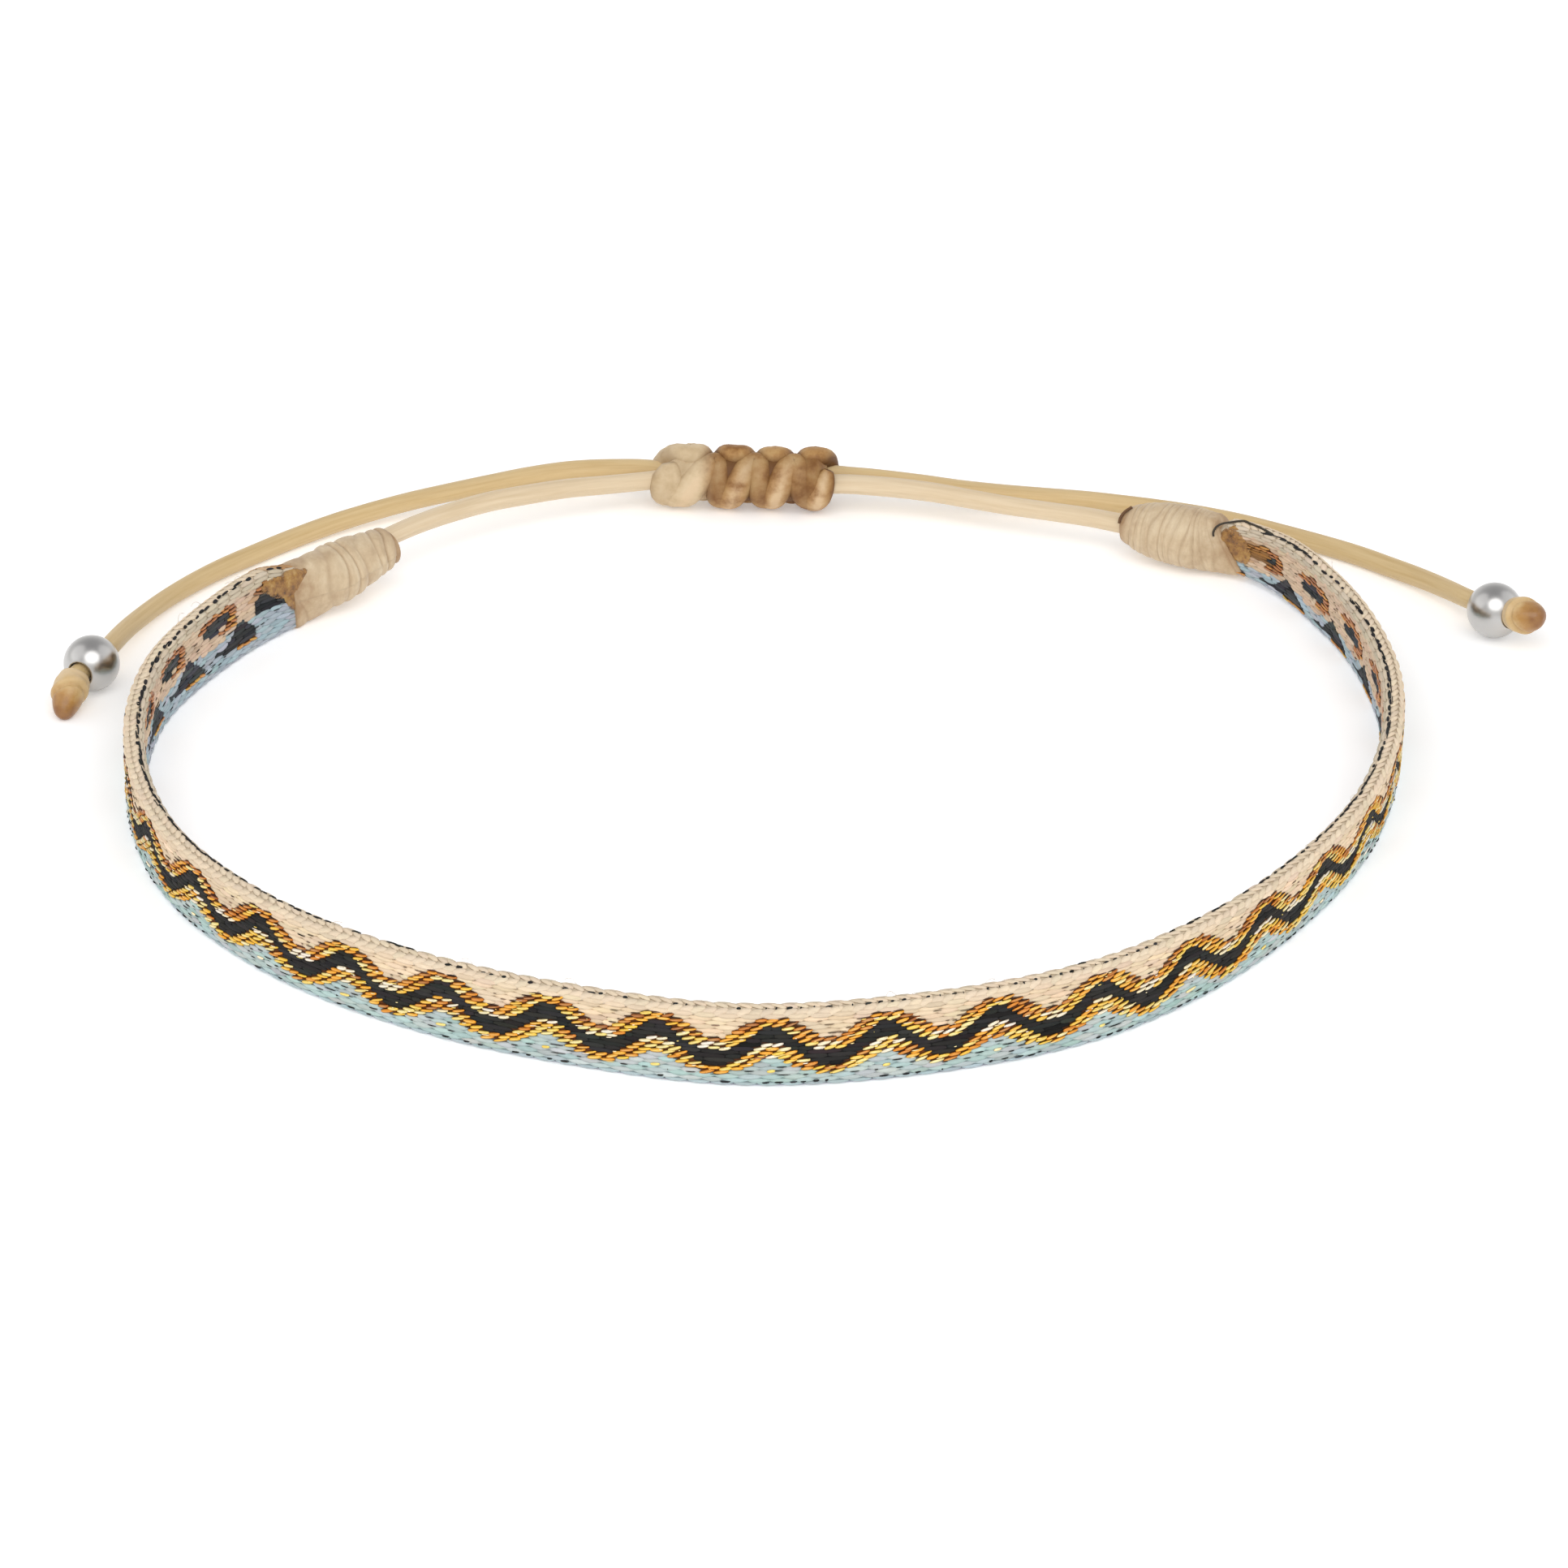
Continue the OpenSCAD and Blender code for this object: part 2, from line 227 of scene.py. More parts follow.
def smooth_line(points, steps):
    """Curve through the points: between two of them, the cubic whose end slopes are half the
    step from the point before to the point after."""
    slope = np.gradient(points, axis=0)
    return cubics(points[:-1], points[1:], slope[:-1], slope[1:], steps)


def length_along(line):
    """Distance along a line up to each of its points."""
    return np.concatenate([[0], np.cumsum(np.linalg.norm(np.diff(line, axis=0), axis=1))])


def ring_angles(count):
    """Angles of so many points evenly round a circle."""
    return np.linspace(0, 2 * math.pi, count, endpoint=False)


def unit(vectors):
    """The vectors divided by their lengths."""
    return vectors / np.linalg.norm(vectors, axis=-1, keepdims=True)


def frames(directions, level=(0, 0, 1)):
    """Unit vectors ahead, across both it and the level vector, and across the first two."""
    ahead = unit(directions)
    side = unit(np.cross(ahead, level))
    return ahead, side, np.cross(side, ahead)


def grid_faces(rows, columns, joined=False):
    """Quads between neighbouring points of a grid whose last column meets the first. If
    joined, the last row meets the first too."""
    i, j = np.meshgrid(np.arange(rows - 1 + joined), np.arange(columns), indexing="ij")
    here, above, k = i * columns, (i + 1) % rows * columns, (j + 1) % columns
    return np.stack([here + j, here + k, above + k, above + j], -1).reshape(-1, 4)


def pole_faces(first, first_ring, last, last_ring):
    """Triangles that close a tube's two ends, from a point at each to the ring next to it."""
    return [np.stack([np.full_like(first_ring, first), np.roll(first_ring, -1), first_ring], 1),
            np.stack([np.full_like(last_ring, last), last_ring, np.roll(last_ring, -1)], 1)]


def outward(points, faces):
    """The faces, all turned round if the volume that they enclose comes out below 0."""
    volume = 0
    for group in faces:
        a = points[group[:, 0]]
        for k in range(1, group.shape[1] - 1):
            b, c = points[group[:, k]], points[group[:, k + 1]]
            volume += np.einsum("ij,ij->", a, np.cross(b, c))
    return [group[:, ::-1] if volume < 0 else group for group in faces]


def make_piece(name, points, faces, finish, slot, node, uv=None, **attributes):
    """Object with that mesh, its UV map and attributes, which stands for the CAD node."""
    points = np.asarray(points, float).reshape(-1, 3)
    faces = outward(points, faces)
    loops = np.concatenate([group.ravel() for group in faces]).astype(np.int32)
    sizes = np.concatenate([np.full(len(group), group.shape[1]) for group in faces])
    mesh = bpy.data.meshes.new(name)
    mesh.vertices.add(len(points))
    mesh.vertices.foreach_set("co", points.astype(np.float32).ravel())
    mesh.loops.add(len(loops))
    mesh.loops.foreach_set("vertex_index", loops)
    mesh.polygons.add(len(sizes))
    mesh.polygons.foreach_set("loop_start", (np.cumsum(sizes) - sizes).astype(np.int32))
    mesh.polygons.foreach_set("use_smooth", np.ones(len(sizes), bool))
    if uv is not None:
        layer = mesh.uv_layers.new(name="lay")
        layer.data.foreach_set("uv", np.asarray(uv).reshape(-1, 2)[loops].astype(np.float32).ravel())
    for key, values in attributes.items():
        colour = np.ndim(values) > 1
        if colour:
            values = np.column_stack([values, np.ones(len(values))])
        layer = mesh.attributes.new(key, "FLOAT_COLOR" if colour else "FLOAT", "POINT")
        layer.data.foreach_set("color" if colour else "value", values.astype(np.float32).ravel())
    mesh.update(calc_edges=True)
    mesh.validate()
    mesh.materials.append(finish)
    piece = bpy.data.objects.new(name, mesh)
    bpy.context.scene.collection.objects.link(piece)
    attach(piece, "root")
    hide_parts(node)
    return piece


def tube(line, radius, sides, relief=0, level=(0, 0, 1)):
    """Tube around a line, ring by ring. Each ring is a circle of radius plus relief, and its
    two ends close in a point. Gives the points and faces, and the UV of each point: metres
    along the tube and the share of the way round it."""
    _, side, up = frames(np.gradient(line, axis=0), level)
    turn = ring_angles(sides)[None, :, None]
    reach = (np.ones((len(line), sides)) * radius + relief)[..., None]
    rings = line[:, None] + reach * (np.cos(turn) * side[:, None] + np.sin(turn) * up[:, None])
    points = np.vstack([rings.reshape(-1, 3), line[:1], line[-1:]])
    ring = np.arange(sides)
    count = len(line) * sides
    poles = pole_faces(count, ring, count + 1, count - sides + ring)
    along = length_along(line)
    u = np.concatenate([np.repeat(along, sides), along[[0, -1]]])
    v = np.concatenate([np.tile(ring / sides, len(line)), [0.5, 0.5]])
    return points, [grid_faces(len(line), sides), *poles], np.stack([u, v], 1)


def lay(start):
    """Ways along and round the piece, from its own UV map."""
    uv = start.node("UVMap", {}, uv_map="lay")
    return start.node("SeparateXYZ", {0: uv}, 0), start.node("SeparateXYZ", {0: uv}, 1)


def painted(start, name, out=2):
    """The piece's own attribute of that name: a number, or a colour if out is 0."""
    return start.node("Attribute", {}, out, attribute_name=name)


def relief_of(height, strength, depth):
    """Bump of that strength and depth from a height."""
    return height.node("Bump", {"Strength": strength, "Distance": depth, "Height": height})


def cord_finish(start):
    """Waxed cord: fine lengthwise fibres, paler where it leaves the whipping and tan past the
    knot, with streaks of darker wax. Both patterns meet themselves round the cord."""
    metres, share_round = lay(start)
    angle = share_round * (2 * math.pi)
    broad, fine = (
        start.node("CombineXYZ", {0: metres * stretch, 1: angle.math("SINE") * girth,
                                  2: angle.math("COSINE") * girth})
        for stretch, girth in ((200, 2.2), (900, 11)))
    streak = clouds(broad, 1.0, 4.0, 0.62)
    patch = clouds(broad, 0.28, 2.0)
    fibre = clouds(fine, 1.0, 3.0, 0.6)
    pale = shades(streak, (0.3, (0.64, 0.49, 0.30)), (0.5, (0.70, 0.55, 0.36)),
                  (0.72, (0.75, 0.61, 0.42)))
    tan = shades(streak, (0.3, (0.56, 0.39, 0.17)), (0.5, (0.62, 0.45, 0.22)),
                 (0.72, (0.67, 0.50, 0.26)))
    share = (painted(start, "tan") + (patch - 0.5) * 0.5).limited(0.0, 1.0)
    return {"Base Color": share.mix(pale, tan), "Normal": relief_of(fibre, 0.35, 0.04 * mm),
            "Roughness": streak * 0.2 + 0.42}


waxed = material("waxed_cord", cord_finish, Sheen_Weight=0.15)


def cord_piece(name, node, route):
    """Tube along the route, a little over the cord's diameter and a little oval, with three
    shallow twisted strands: the relief is a cosine of three times the way round less the
    length. It turns from pale to tan over 6 mm in the knot. Gives the piece and its line."""
    line = smooth_line(route, CORD_STEPS)
    along = length_along(line)
    turn = ring_angles(CORD_SIDES)[None]
    twist = np.cos(3 * turn - along[:, None] / (1.9 * mm)) * 0.012 * mm
    wander = np.sin(along[:, None] / (2.7 * mm) + 2 * turn) * 0.016 * mm
    points, faces, uv = tube(line, CORD_D / 2 + 0.02 * mm, CORD_SIDES, twist + wander)
    knot = along[CORD_STEPS * np.array([KNOT_FROM, KNOT_TO])].mean()
    tan = np.clip((uv[:, 0] - knot) / (6 * mm) + 0.5, 0, 1)
    return make_piece(name, points, faces, waxed, "waxed_cord", node, uv, tan=tan), line


left_cord, left_line = cord_piece("left_waxed_cord", "left_cord", LEFT_ROUTE)
right_cord, right_line = cord_piece("right_waxed_cord", "right_cord", RIGHT_ROUTE)

# End beads: a polished steel ball on each cord, drilled through, with the hole's rim broken
# to a small round. The hole is a little wider than the cord.
BEAD_D = 2.95 * mm
BEAD_HOLE_D = 1.3 * mm
# Angle, seen from the middle of the ball, that the round at the hole's rim takes up
BEAD_ROUND = 0.10
BEAD_SIDES = 64


def turned(profile, centre, axis, turns, relief=0):
    """Surface of a profile (distance along, radius) turned about the axis through centre,
    with the relief added to its radius."""
    ahead, side, up = frames(axis)
    turn = ring_angles(turns)[None, :, None]
    radius = np.maximum(np.repeat(profile[:, 1:2], turns, 1) + relief, 0)
    rings = centre + profile[:, 0, None, None] * ahead
    return rings + radius[..., None] * (np.cos(turn) * side + np.sin(turn) * up)


def steel_finish(start):
    """Polished steel: very fine turning marks and a faint uneven polish."""
    place = object_place(start)
    polish = clouds(place, 900.0, 3.0)
    tone = clouds(place, 260.0, 2.0)
    return {"Base Color": tone.mix((0.50, 0.49, 0.475, 1), (0.60, 0.59, 0.575, 1)),
            "Roughness": polish * 0.08 + 0.25, "Normal": relief_of(polish, 0.04, 0.03 * mm)}


steel = material("polished_steel", steel_finish, Metallic=1.0)


def bead_piece(name, node, route):
    """Ball whose profile runs from the hole's rim to the other rim, rounds into the hole, and
    comes back along the hole's wall."""
    hole = BEAD_HOLE_D / 2
    edge = math.asin(hole / (BEAD_D / 2))
    ball_from = edge + BEAD_ROUND
    polar = np.linspace(ball_from, math.pi - ball_from, 44)
    ball = np.stack([-np.cos(polar), np.sin(polar)], 1) * BEAD_D / 2
    reach = BEAD_D / 2 * math.cos(edge)
    rim = np.array([[reach - 0.015 * mm, hole + 0.05 * mm], [reach - 0.05 * mm, hole],
                    [reach - 0.3 * mm, hole]])
    profile = np.vstack([ball, rim, rim[::-1] * [-1, 1]])
    grid = turned(profile, route[-3], route[-2] - route[-4], BEAD_SIDES)
    faces = [grid_faces(len(profile), BEAD_SIDES, joined=True)]
    return make_piece(name, grid, faces, steel, "polished_bead", node)


left_bead = bead_piece("left_steel_bead", "left_bead", RIGHT_ROUTE)
right_bead = bead_piece("right_steel_bead", "right_bead", LEFT_ROUTE)

# End knots: the cord's end knotted hard against the bead and melted to a brown pear-shaped
# tip, so that the bead can't come off. The melted tip is glossier than the cord.
END_KNOT_D = 1.95 * mm
END_KNOT_L = 2.6 * mm
END_KNOT_SIDES = 48


def sealed_finish(start):
    """Knotted cord that turns to burnt brown at its tip, glossy where it melted."""
    share, _ = lay(start)
    place = object_place(start)
    blotch = clouds(place, 1500.0, 4.0)
    tone = shades(share + (blotch - 0.5) * 0.55, (0.05, (0.70, 0.53, 0.32)), (0.42, (0.62, 0.43, 0.20)),
                  (0.66, (0.44, 0.23, 0.065)), (0.95, (0.26, 0.11, 0.03)))
    return {"Base Color": tone, "Roughness": 0.6 - share * 0.28,
            "Normal": relief_of(clouds(place, 6500.0, 3.0), 0.3, 0.06 * mm)}


sealed = material("sealed_cord_end", sealed_finish, Coat_Weight=0.15)


def end_knot_piece(name, node, route, squeeze, start_turn, long):
    """Pear: its radius follows a rounded outline. A strand laid across it stands out, and the
    crease beside it is a narrow valley; a slow wave makes it uneven."""
    share = np.concatenate([[0], np.linspace(0.004, 1, 46)])
    outline = np.interp(share, [0, 0.004, 0.08, 0.25, 0.45, 0.65, 0.82, 0.93, 0.985, 1],
                        [0, 0.70, 0.87, 1.0, 0.98, 0.84, 0.64, 0.44, 0.22, 0])
    outline = np.convolve(np.pad(outline, 2, "edge"), np.ones(5) / 5, "valid")
    outline[0], outline[-1] = 0, 0
    turn = ring_angles(END_KNOT_SIDES)[None] + start_turn
    rise = share[:, None] - 0.52 - 0.13 * np.cos(turn)
    crease = -0.17 * np.exp(-(rise / 0.04) ** 2) + 0.08 * np.exp(-((rise + 0.12) / 0.08) ** 2)
    second = share[:, None] - 0.2 + 0.1 * np.sin(turn)
    crease = crease - 0.06 * np.exp(-(second / 0.05) ** 2)
    uneven = 0.05 * np.sin(2 * turn + 5 * share[:, None]) + 0.03 * np.cos(3 * turn - 4 * share[:, None])
    relief = (crease + uneven) * np.sin(math.pi * share)[:, None] ** 0.6 * END_KNOT_D / 2
    profile = np.stack([share * long * END_KNOT_L - 0.34 * mm, outline * END_KNOT_D / 2 * squeeze], 1)
    grid = turned(profile, route[-2], route[-1] - route[-2], END_KNOT_SIDES, relief)
    uv = np.stack(np.broadcast_arrays(share[:, None], turn / (2 * math.pi)), -1)
    faces = [grid_faces(len(share), END_KNOT_SIDES)]
    return make_piece(name, grid, faces, sealed, "sealed_cord_end", node, uv)


left_end = end_knot_piece("left_sealed_end", "left_end_knot", RIGHT_ROUTE,
                          squeeze=0.96, start_turn=0.6, long=1.1)
right_end = end_knot_piece("right_sealed_end", "right_end_knot", LEFT_ROUTE,
                           squeeze=1.0, start_turn=2.4, long=0.93)

# Woven band: sixteen rows of fine threads on each face of a dense ground, 4.2 mm tall and
# 1 mm thick. Cotton carries the sand, black and pale blue fields, and metallic film outlines
# the black wave. Each float, a stretch of thread that shows, is a small closed mesh.
LOOP_R = 31.5 * mm
LOOP_STEPS = 30
BAND_H = 4.2 * mm
BAND_T = 1.0 * mm
EDGE_R = 0.44 * mm
EDGE_STEPS = 9
GATHERED_T = 1.2 * mm
GATHERED_H = 3.5 * mm
GATHER_L = 3.0 * mm
RIGHT_GATHERED_H = 2.9 * mm
RIGHT_GATHER_L = 8.0 * mm
COLLAR_L = 0.3 * mm
TUCK_L = 2.0 * mm
WHIP_Z = 1.8 * mm
LEFT_HEADING = math.radians(45)
RIGHT_HEADING = math.radians(157)
# The loop seen from above, from the left whipping round the front to the right one: angle in
# degrees, distance from the middle as a share of LOOP_R, and the band's lean in degrees
ROUND = np.array([
    [146, 0.942, 2], [158, 0.978, 1.5], [172, 1.016, 0], [188, 1.029, 0.5], [204, 1.034, 1],
    [220, 1.015, 0.5], [236, 0.989, -1], [252, 0.977, -2], [268, 0.991, -3], [284, 0.988, -3],
    [300, 0.997, -2], [314, 0.992, 0.5], [328, 0.989, 4], [342, 1.001, 5.5], [356, 1.016, 3.5],
    [370, 1.034, -2], [386, 1.050, -7], [401.5, 1.046, -8]])
# Height of a row of threads and number of rows, and lengths of the loop from one crossing
# thread to the next and of a metallic float
ROW = 0.2205 * mm
ROWS = 16
PICK = 0.555 * mm
FILM_FLOAT = 0.57 * mm
# Length of the outer wave and of the inner pattern, and where a crest and a lens lie
WAVE = 5.55 * mm
WAVE_AT = 68.95 * mm
BACK_WAVE = 5.264 * mm
BACK_WAVE_AT = 7.57 * mm
random = np.random.default_rng(7)


def heading(angle):
    """Unit vector at an angle in the level plane."""
    return np.array([math.cos(angle), math.sin(angle)])


def band_stations():
    """Cubics through the loop's polar points, cut into even steps. Gives the distance from the
    left mouth, the level middle line, its side vector outwards and the lean in radians."""
    angle = np.radians(ROUND[:, 0])
    points = LOOP_R * ROUND[:, 1:2] * np.stack([np.cos(angle), np.sin(angle)], 1)
    slope = np.empty_like(points)
    slope[1:-1] = (points[2:] - points[:-2]) / (angle[2:] - angle[:-2])[:, None]
    slope[0] = -heading(LEFT_HEADING) * LOOP_R
    slope[-1] = heading(RIGHT_HEADING) * LOOP_R
    span = np.diff(angle)[:, None]
    line = cubics(points[:-1], points[1:], slope[:-1] * span, slope[1:] * span, LOOP_STEPS)
    lean = np.interp(np.arange(len(line)) / LOOP_STEPS, np.arange(len(ROUND)), np.radians(ROUND[:, 2]))
    line = np.vstack([line[0] + heading(LEFT_HEADING) * TUCK_L, line,
                      line[-1] + heading(RIGHT_HEADING) * TUCK_L])
    lean = np.concatenate([lean[:1], lean, lean[-1:]])
    along = length_along(line) - TUCK_L
    even = np.linspace(along[0], along[-1], 1460)
    line = np.stack([np.interp(even, along, line[:, k]) for k in range(2)], 1)
    ahead = unit(np.gradient(line, axis=0))
    return even, line, np.stack([ahead[:, 1], -ahead[:, 0]], 1), np.interp(even, along, lean)


station, middle, outside, leaning = band_stations()
BAND_L = station[-1] - TUCK_L


def section_outline():
    """Rounded rectangle of the band's height and thickness from the middle of its bottom edge,
    up its outer face, over the top and down the inner face. Gives the distance round it, the
    place across and up, and the normal."""
    flat, tall = BAND_T / 2 - EDGE_R, BAND_H / 2 - EDGE_R
    corners = np.array([(flat, -tall, -90), (flat, tall, 0), (-flat, tall, 90), (-flat, -tall, 180)])
    turn = np.radians(corners[:, 2:] + np.linspace(0, 90, EDGE_STEPS))
    normal = np.stack([np.cos(turn), np.sin(turn)], -1)
    place = (corners[:, None, :2] + EDGE_R * normal).reshape(-1, 2)
    start = np.array([[0, -BAND_H / 2]])
    down = np.array([[0, -1.0]])
    place = np.vstack([start, place, start])
    return length_along(place), place, np.vstack([down, normal.reshape(-1, 2), down])


round_at, round_place, round_normal = section_outline()
# Height z is z + FLAT_FROM round the section on the outer face, and ROUND_L less that on the
# inner one. TOP_Q is the middle of the top edge.
ROUND_L = round_at[-1]
FLAT_FROM = round_at[EDGE_STEPS] - EDGE_R
TOP_Q = ROUND_L / 2


def eased(x):
    """Smooth step from 0 to 1: 3 x^2 - 2 x^3 between 0 and 1, and flat outside."""
    x = np.clip(x, 0, 1)
    return x * x * (3 - 2 * x)


def on_band(s, q, lift):
    """Points at distance s along the band and q round its section, raised by lift along the
    section's normal. The section shrinks to its gathered size over the last 3 mm before the
    left mouth and the last 8 mm before the right one, further still where it is tucked in,
    and a lean shears it sideways in step with height."""
    out = np.minimum(s, BAND_L - s)
    right = s > BAND_L / 2
    g = eased((out - COLLAR_L) / np.where(right, RIGHT_GATHER_L, GATHER_L))
    gathered = np.where(right, RIGHT_GATHERED_H, GATHERED_H)
    q = np.mod(q, ROUND_L)
    across, rise, n_across, n_rise = (
        np.interp(q, round_at, table) for table in (*round_place.T, *round_normal.T))
    across = across * (GATHERED_T / BAND_T * (1 - g) + g) + n_across * lift
    tucked = np.clip(-out / (0.5 * mm), 0, 1)
    rise = rise * (gathered * (1 - 0.3 * tucked) / BAND_H * (1 - g) + g) + n_rise * lift
    across = across + rise * np.tan(g * np.interp(s, station, leaning))
    x, y, side_x, side_y = (np.interp(s, station, table) for table in (*middle.T, *outside.T))
    z = WHIP_Z * (1 - g) + BAND_H / 2 * g + rise
    return np.stack([x + side_x * across, y + side_y * across, z], -1)


# Kinds of thread. UPPER and LOWER are the film above and below the black wave.
SAND, UPPER, BLACK, LOWER, BLUE, CREAM = range(6)


def outer_edges(s):
    """A rounded triangle wave w = asin(0.8 cos b) / asin(0.8), where b = a + 0.12 sin a is the
    phase a with its slopes made uneven, and the heights in mm of the four boundaries on the
    outer face, from the bottom up. Each is a height plus a swing times w plus a bulge times
    1 - w^2, which makes the metallic bands broad on the slopes. The wave is cut off where the
    black is broad, so that its crests are flat."""
    a = (s - WAVE_AT) / WAVE * 2 * math.pi
    wave = np.arcsin(0.8 * np.cos(a + 0.12 * np.sin(a))) / math.asin(0.8)
    edges = [(1.19, 0.46, -0.12, 1, 1), (1.775, 0.73, 0.05, 0.86, 1),
             (2.69, 0.75, -0.14, 1, 0.84), (3.175, 0.605, 0.26, 1, 1)]
    return wave, [height + swing * np.clip(wave, -low, high) + bulge * (1 - wave**2)
                  for height, swing, bulge, low, high in edges]


def outer_chart(s, z):
    """Kind of thread at height z of the outer face."""
    kind = np.full(np.broadcast(s, z).shape, BLUE)
    for edge, above in zip(outer_edges(s)[1], (LOWER, BLACK, UPPER, SAND)):
        kind = np.where(z > edge * mm, above, kind)
    return kind


def inner_chart(s, z):
    """Kind of thread on the inner face: blue below, sand above and cream along the top.
    Slanted black lenses stand in the sand, and black triangles beside them reach down into
    the blue. Metallic strips run above and beside the lenses and under the triangles. The
    pattern lies higher at the left and lower at the right, and starts with a black bar."""
    turns = (s - BACK_WAVE_AT) / BACK_WAVE
    x, t = ((np.mod(turns + shift + 0.5, 1) - 0.5) * BACK_WAVE / mm for shift in (0, 0.43))
    z = z / mm + np.interp(s / mm, [30, 40, BAND_L / mm - 38, BAND_L / mm - 30], [-0.2, 0, 0, 0.42])
    rise = z - 2.78 + 0.06 * x
    lens = (x / 1.35) ** 2 + (rise / 0.44) ** 2 < 1
    ring = (x / 1.95) ** 2 + (rise / 0.88) ** 2 < 1
    triangle = (np.abs(t) < 1.8 * (2.2 - z) / 1.4) & (z > 0.8) & (z < 2.2)
    tail = (t > 0) & (t < 2.5) & (z > 0.85) & (z < 1.15)
    kind = np.where(z < 1.72 + 0.16 * np.cos(t * 1.19), BLUE, SAND)
    kind = np.where(z > 3.72, CREAM, kind)
    kind = np.where(ring & ((rise > 0.3) | (x < -0.9)) & (z > 2.2) & (z < 3.72), UPPER, kind)
    kind = np.where((np.abs(rise + 0.62) < 0.14) & (x > -1.9) & (x < -0.2), UPPER, kind)
    kind = np.where((z > 0.55) & (z < 0.82) & (t > -1.7) & (t < 0.4), LOWER, kind)
    kind = np.where(lens | triangle | tail, BLACK, kind)
    at_mouth = s < 4.0 * mm
    kind = np.where(at_mouth & (z < 1.75), BLUE, kind)
    return np.where(at_mouth & (z > 1.75) & (z < 2.6), BLACK, kind)


def row_floats(chart, q, z, shift):
    """Cuts one row into floats. A field is cut at every second crossing thread, or every
    third if it is black, like bricks, and a metallic run into equal floats of about 0.57 mm.
    Gives the start, end, q, z and kind of each."""
    s = np.arange(0.05 * mm, BAND_L - 0.05 * mm, 0.02 * mm)
    kinds = chart(s, np.full_like(s, z))
    turn = np.flatnonzero(np.diff(kinds)) + 1
    edges = np.concatenate([s[:1], s[turn], s[-1:]])
    kind = kinds[np.concatenate([[0], turn])]
    keep = np.diff(edges) >= np.where((kind == UPPER) | (kind == LOWER), 0.4, 0.2) * mm
    keep[0] = True
    edges, kind = np.append(edges[:-1][keep], edges[-1]), kind[keep]
    metal = (kind == UPPER) | (kind == LOWER)
    grid = np.arange(s[0], s[-1], PICK) + shift
    which = np.clip(np.searchsorted(edges, grid) - 1, 0, len(kind) - 1)
    far = (grid - edges[which] > 0.33 * mm) & (edges[which + 1] - grid > 0.33 * mm)
    step = np.where(kind[which] == BLACK, 3, 2)
    inside = grid[far & ~metal[which] & (np.arange(len(grid)) % step == 0)]
    n = np.where(metal, np.maximum(np.round(np.diff(edges) / FILM_FLOAT), 1), 1).astype(int)
    first = np.repeat(edges[:-1], n)
    k = np.arange(n.sum()) - np.repeat(np.cumsum(n) - n, n)
    inside = inside + random.normal(size=len(inside)) * 0.06 * mm
    cuts = np.unique(np.concatenate([first + k * np.repeat(np.diff(edges) / n, n), inside, edges]))
    cuts = cuts[np.concatenate([[True], np.diff(cuts) > 0.05 * mm])]
    mid = (cuts[1:] + cuts[:-1]) / 2
    found = kind[np.clip(np.searchsorted(edges, mid) - 1, 0, len(kind) - 1)]
    return np.stack([cuts[:-1], cuts[1:], np.full_like(mid, q), np.full_like(mid, z), found], 1)


row_z = 0.36 * mm + ROW * np.arange(ROWS)
outer_rows = np.vstack([
    row_floats(outer_chart, z + FLAT_FROM, z, (k % 2) * PICK + 0.1 * mm * (k % 3))
    for k, z in enumerate(row_z)])
inner_rows = np.vstack([
    row_floats(inner_chart, ROUND_L - z - FLAT_FROM, z, (k % 2) * PICK + 0.13 * mm * (k % 3))
    for k, z in enumerate(row_z)])


def laid_floats(name, start, end, low, high, half, plump, lift, dive, blunt, tint, finish,
                under=0.6, side_lit=0.95, gleam=0.0):
    """Floats from (start, low) to (end, high) in band coordinates. Each is an ellipse of that
    half width and plumpness, in mm as lift and dive are, swept with width
    (1 - |2t - 1|^2.6)^blunt. It lies lift above the band, and its ends dive below that. The
    tint carries painted shade, darker by side_lit along its flanks and by under beneath, and a
    painted highlight: its crest is mixed with a paler shade of its own, by as much as gleam says."""
    t = np.array([0, 0.06, 0.25, 0.5, 0.75, 0.94, 1])
    full = ((1 - np.abs(2 * t - 1) ** 2.6) ** blunt)[None, :, None]
    turn = np.radians(np.arange(6) * 60 + 30)
    s = (start[:, None] + (end - start)[:, None] * t)[..., None] + 0 * turn
    q = (low[:, None] + (high - low)[:, None] * t)[..., None]
    q = q + np.reshape(half, (-1, 1, 1)) * mm * full * np.cos(turn)
    rise = np.reshape(lift, (-1, 1, 1)) - dive * (1 - full) + plump * full * np.sin(turn)
    points = on_band(s, q, rise * mm + 0 * s)
    count = len(start)
    keep = np.concatenate([[0], np.arange(6, 36), [36]])
    points = points.reshape(count, -1, 3)[:, keep]
    uv = np.stack([s, q], -1).reshape(count, -1, 2)[:, keep]
    ring = np.arange(6)
    base = (np.arange(count) * len(keep))[:, None, None]
    faces = [(group + base).reshape(-1, group.shape[1])
             for group in (1 + grid_faces(5, 6), np.vstack(pole_faces(0, 1 + ring, 31, 25 + ring)))]
    # Painted shade on the flanks and underneath, and a painted highlight along the crest
    lit = np.concatenate([[under], np.tile([side_lit, 1, side_lit, under, under, under], 5), [under]])
    crest = np.concatenate([[0], np.outer([0.1, 0.9, 1, 0.6, 0.1], [0, 1, 0, 0, 0, 0]).ravel(), [0]])
    crest = crest[:, None] * np.reshape(gleam, (-1, 1, 1))
    tint = tint[:, None] * lit[:, None] * (1 - crest) + tint[:, None] ** 0.42 * crest
    return make_piece(name, points, faces, finish, "woven_band", "woven_band", uv,
                      tint=tint.reshape(-1, 3))


